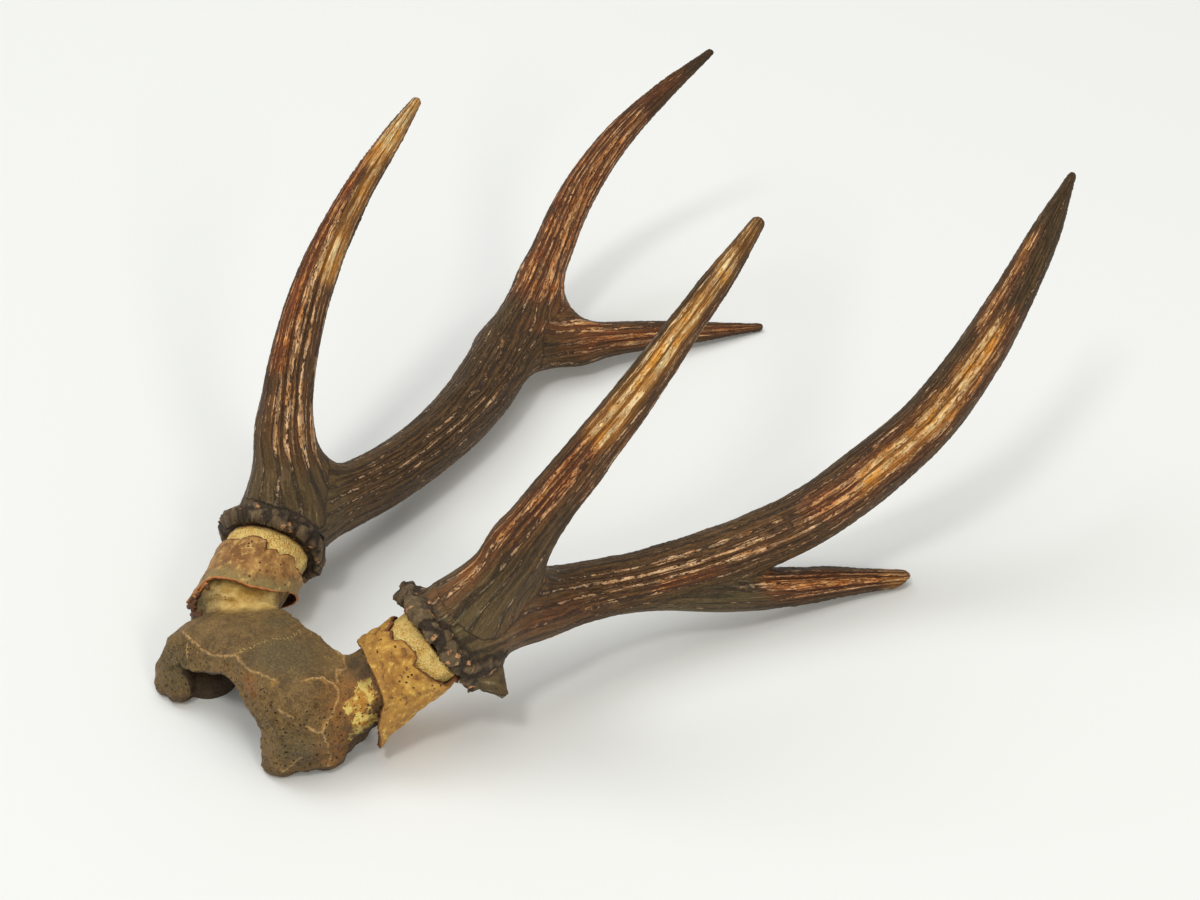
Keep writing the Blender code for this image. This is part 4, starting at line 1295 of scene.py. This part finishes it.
class OBJECT_OT_stage(bpy.types.Operator):
    """Lay the floor, hang the lights and place the camera"""

    bl_idname = "object.antler_stage"
    bl_label = "Stage"

    def execute(self, context):
        sizes = context.scene.stage_sizes
        pick()
        bpy.ops.mesh.primitive_plane_add(size=8)
        floor = context.object
        floor.name = "floor"
        material, _, shader = new_material("matt_white_board")
        shader.inputs["Base Color"].default_value = (*sizes.floor, 1)
        shader.inputs["Roughness"].default_value = 0.9
        floor.data.materials.append(material)

        for name, place, aim, size, power, tint in (
                ("lamp_left", (-2.0, -0.35, 3.3), (0, 0, 0.05), 1.8, 30.0, (0.92, 0.96, 1)),
                ("lamp_front", (0.5, -1.55, 3.1), (0, 0.05, 0.05), 0.6, 21.0, (1, 0.98, 0.94)),
                ("lamp_right", (2.6, -0.8, 1.7), (0, 0, 0.05), 0.7, 19.0, (1, 0.95, 0.86)),
                ("lamp_top", (-0.2, 0.3, 3.2), (0, 0, 0), 2.6, 25.0, (1, 1, 0.97))):
            bpy.ops.object.light_add(type="AREA", location=place)
            lamp = context.object
            lamp.name = name
            lamp.data.shape = "DISK"
            lamp.data.size = size
            lamp.data.energy = power
            lamp.data.color = tint
            lamp.visible_camera = False
            lamp.rotation_euler = (Vector(aim) - lamp.location).to_track_quat("-Z", "Y").to_euler()

        world = bpy.data.worlds.new("soft_white")
        world.use_nodes = True
        sky = world.node_tree.nodes["Background"]
        sky.inputs["Color"].default_value = (1.0, 0.995, 0.965, 1)
        sky.inputs["Strength"].default_value = 0.43
        context.scene.world = world
        context.scene.view_settings.view_transform = "Standard"

        bpy.ops.object.camera_add(location=sizes.camera)
        camera = context.object
        camera.name = "camera"
        camera.data.sensor_fit = "HORIZONTAL"
        camera.data.sensor_width = 36.0
        camera.data.lens = sizes.lens
        camera.rotation_euler = (Vector(sizes.aim) - camera.location).to_track_quat("-Z", "Y").to_euler()
        context.scene.camera = camera
        return {"FINISHED"}


class VIEW3D_PT_antlers(bpy.types.Panel):
    """The builders, one button each"""

    bl_label = "Deer antlers"
    bl_idname = "VIEW3D_PT_antlers"
    bl_space_type = "VIEW_3D"
    bl_region_type = "UI"
    bl_category = "Antlers"

    def draw(self, context):
        for step in STEPS:
            self.layout.operator(step.bl_idname)


STEPS = (OBJECT_OT_antlers, OBJECT_OT_skull, OBJECT_OT_sleeves, OBJECT_OT_stage)
CLASSES = (AntlerSizes, SkullSizes, StageSizes, *STEPS, VIEW3D_PT_antlers)


def register():
    for cls in CLASSES:
        bpy.utils.register_class(cls)
    bpy.types.Scene.antler_sizes = bpy.props.PointerProperty(type=AntlerSizes)
    bpy.types.Scene.skull_sizes = bpy.props.PointerProperty(type=SkullSizes)
    bpy.types.Scene.stage_sizes = bpy.props.PointerProperty(type=StageSizes)


def unregister():
    del bpy.types.Scene.stage_sizes
    del bpy.types.Scene.skull_sizes
    del bpy.types.Scene.antler_sizes
    for cls in reversed(CLASSES):
        bpy.utils.unregister_class(cls)


def main():
    """Register and build everything in order."""
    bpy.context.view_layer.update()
    register()
    for step in STEPS:
        group, call = step.bl_idname.split(".")
        getattr(getattr(bpy.ops, group), call)()


if __name__ == "__main__":
    main()
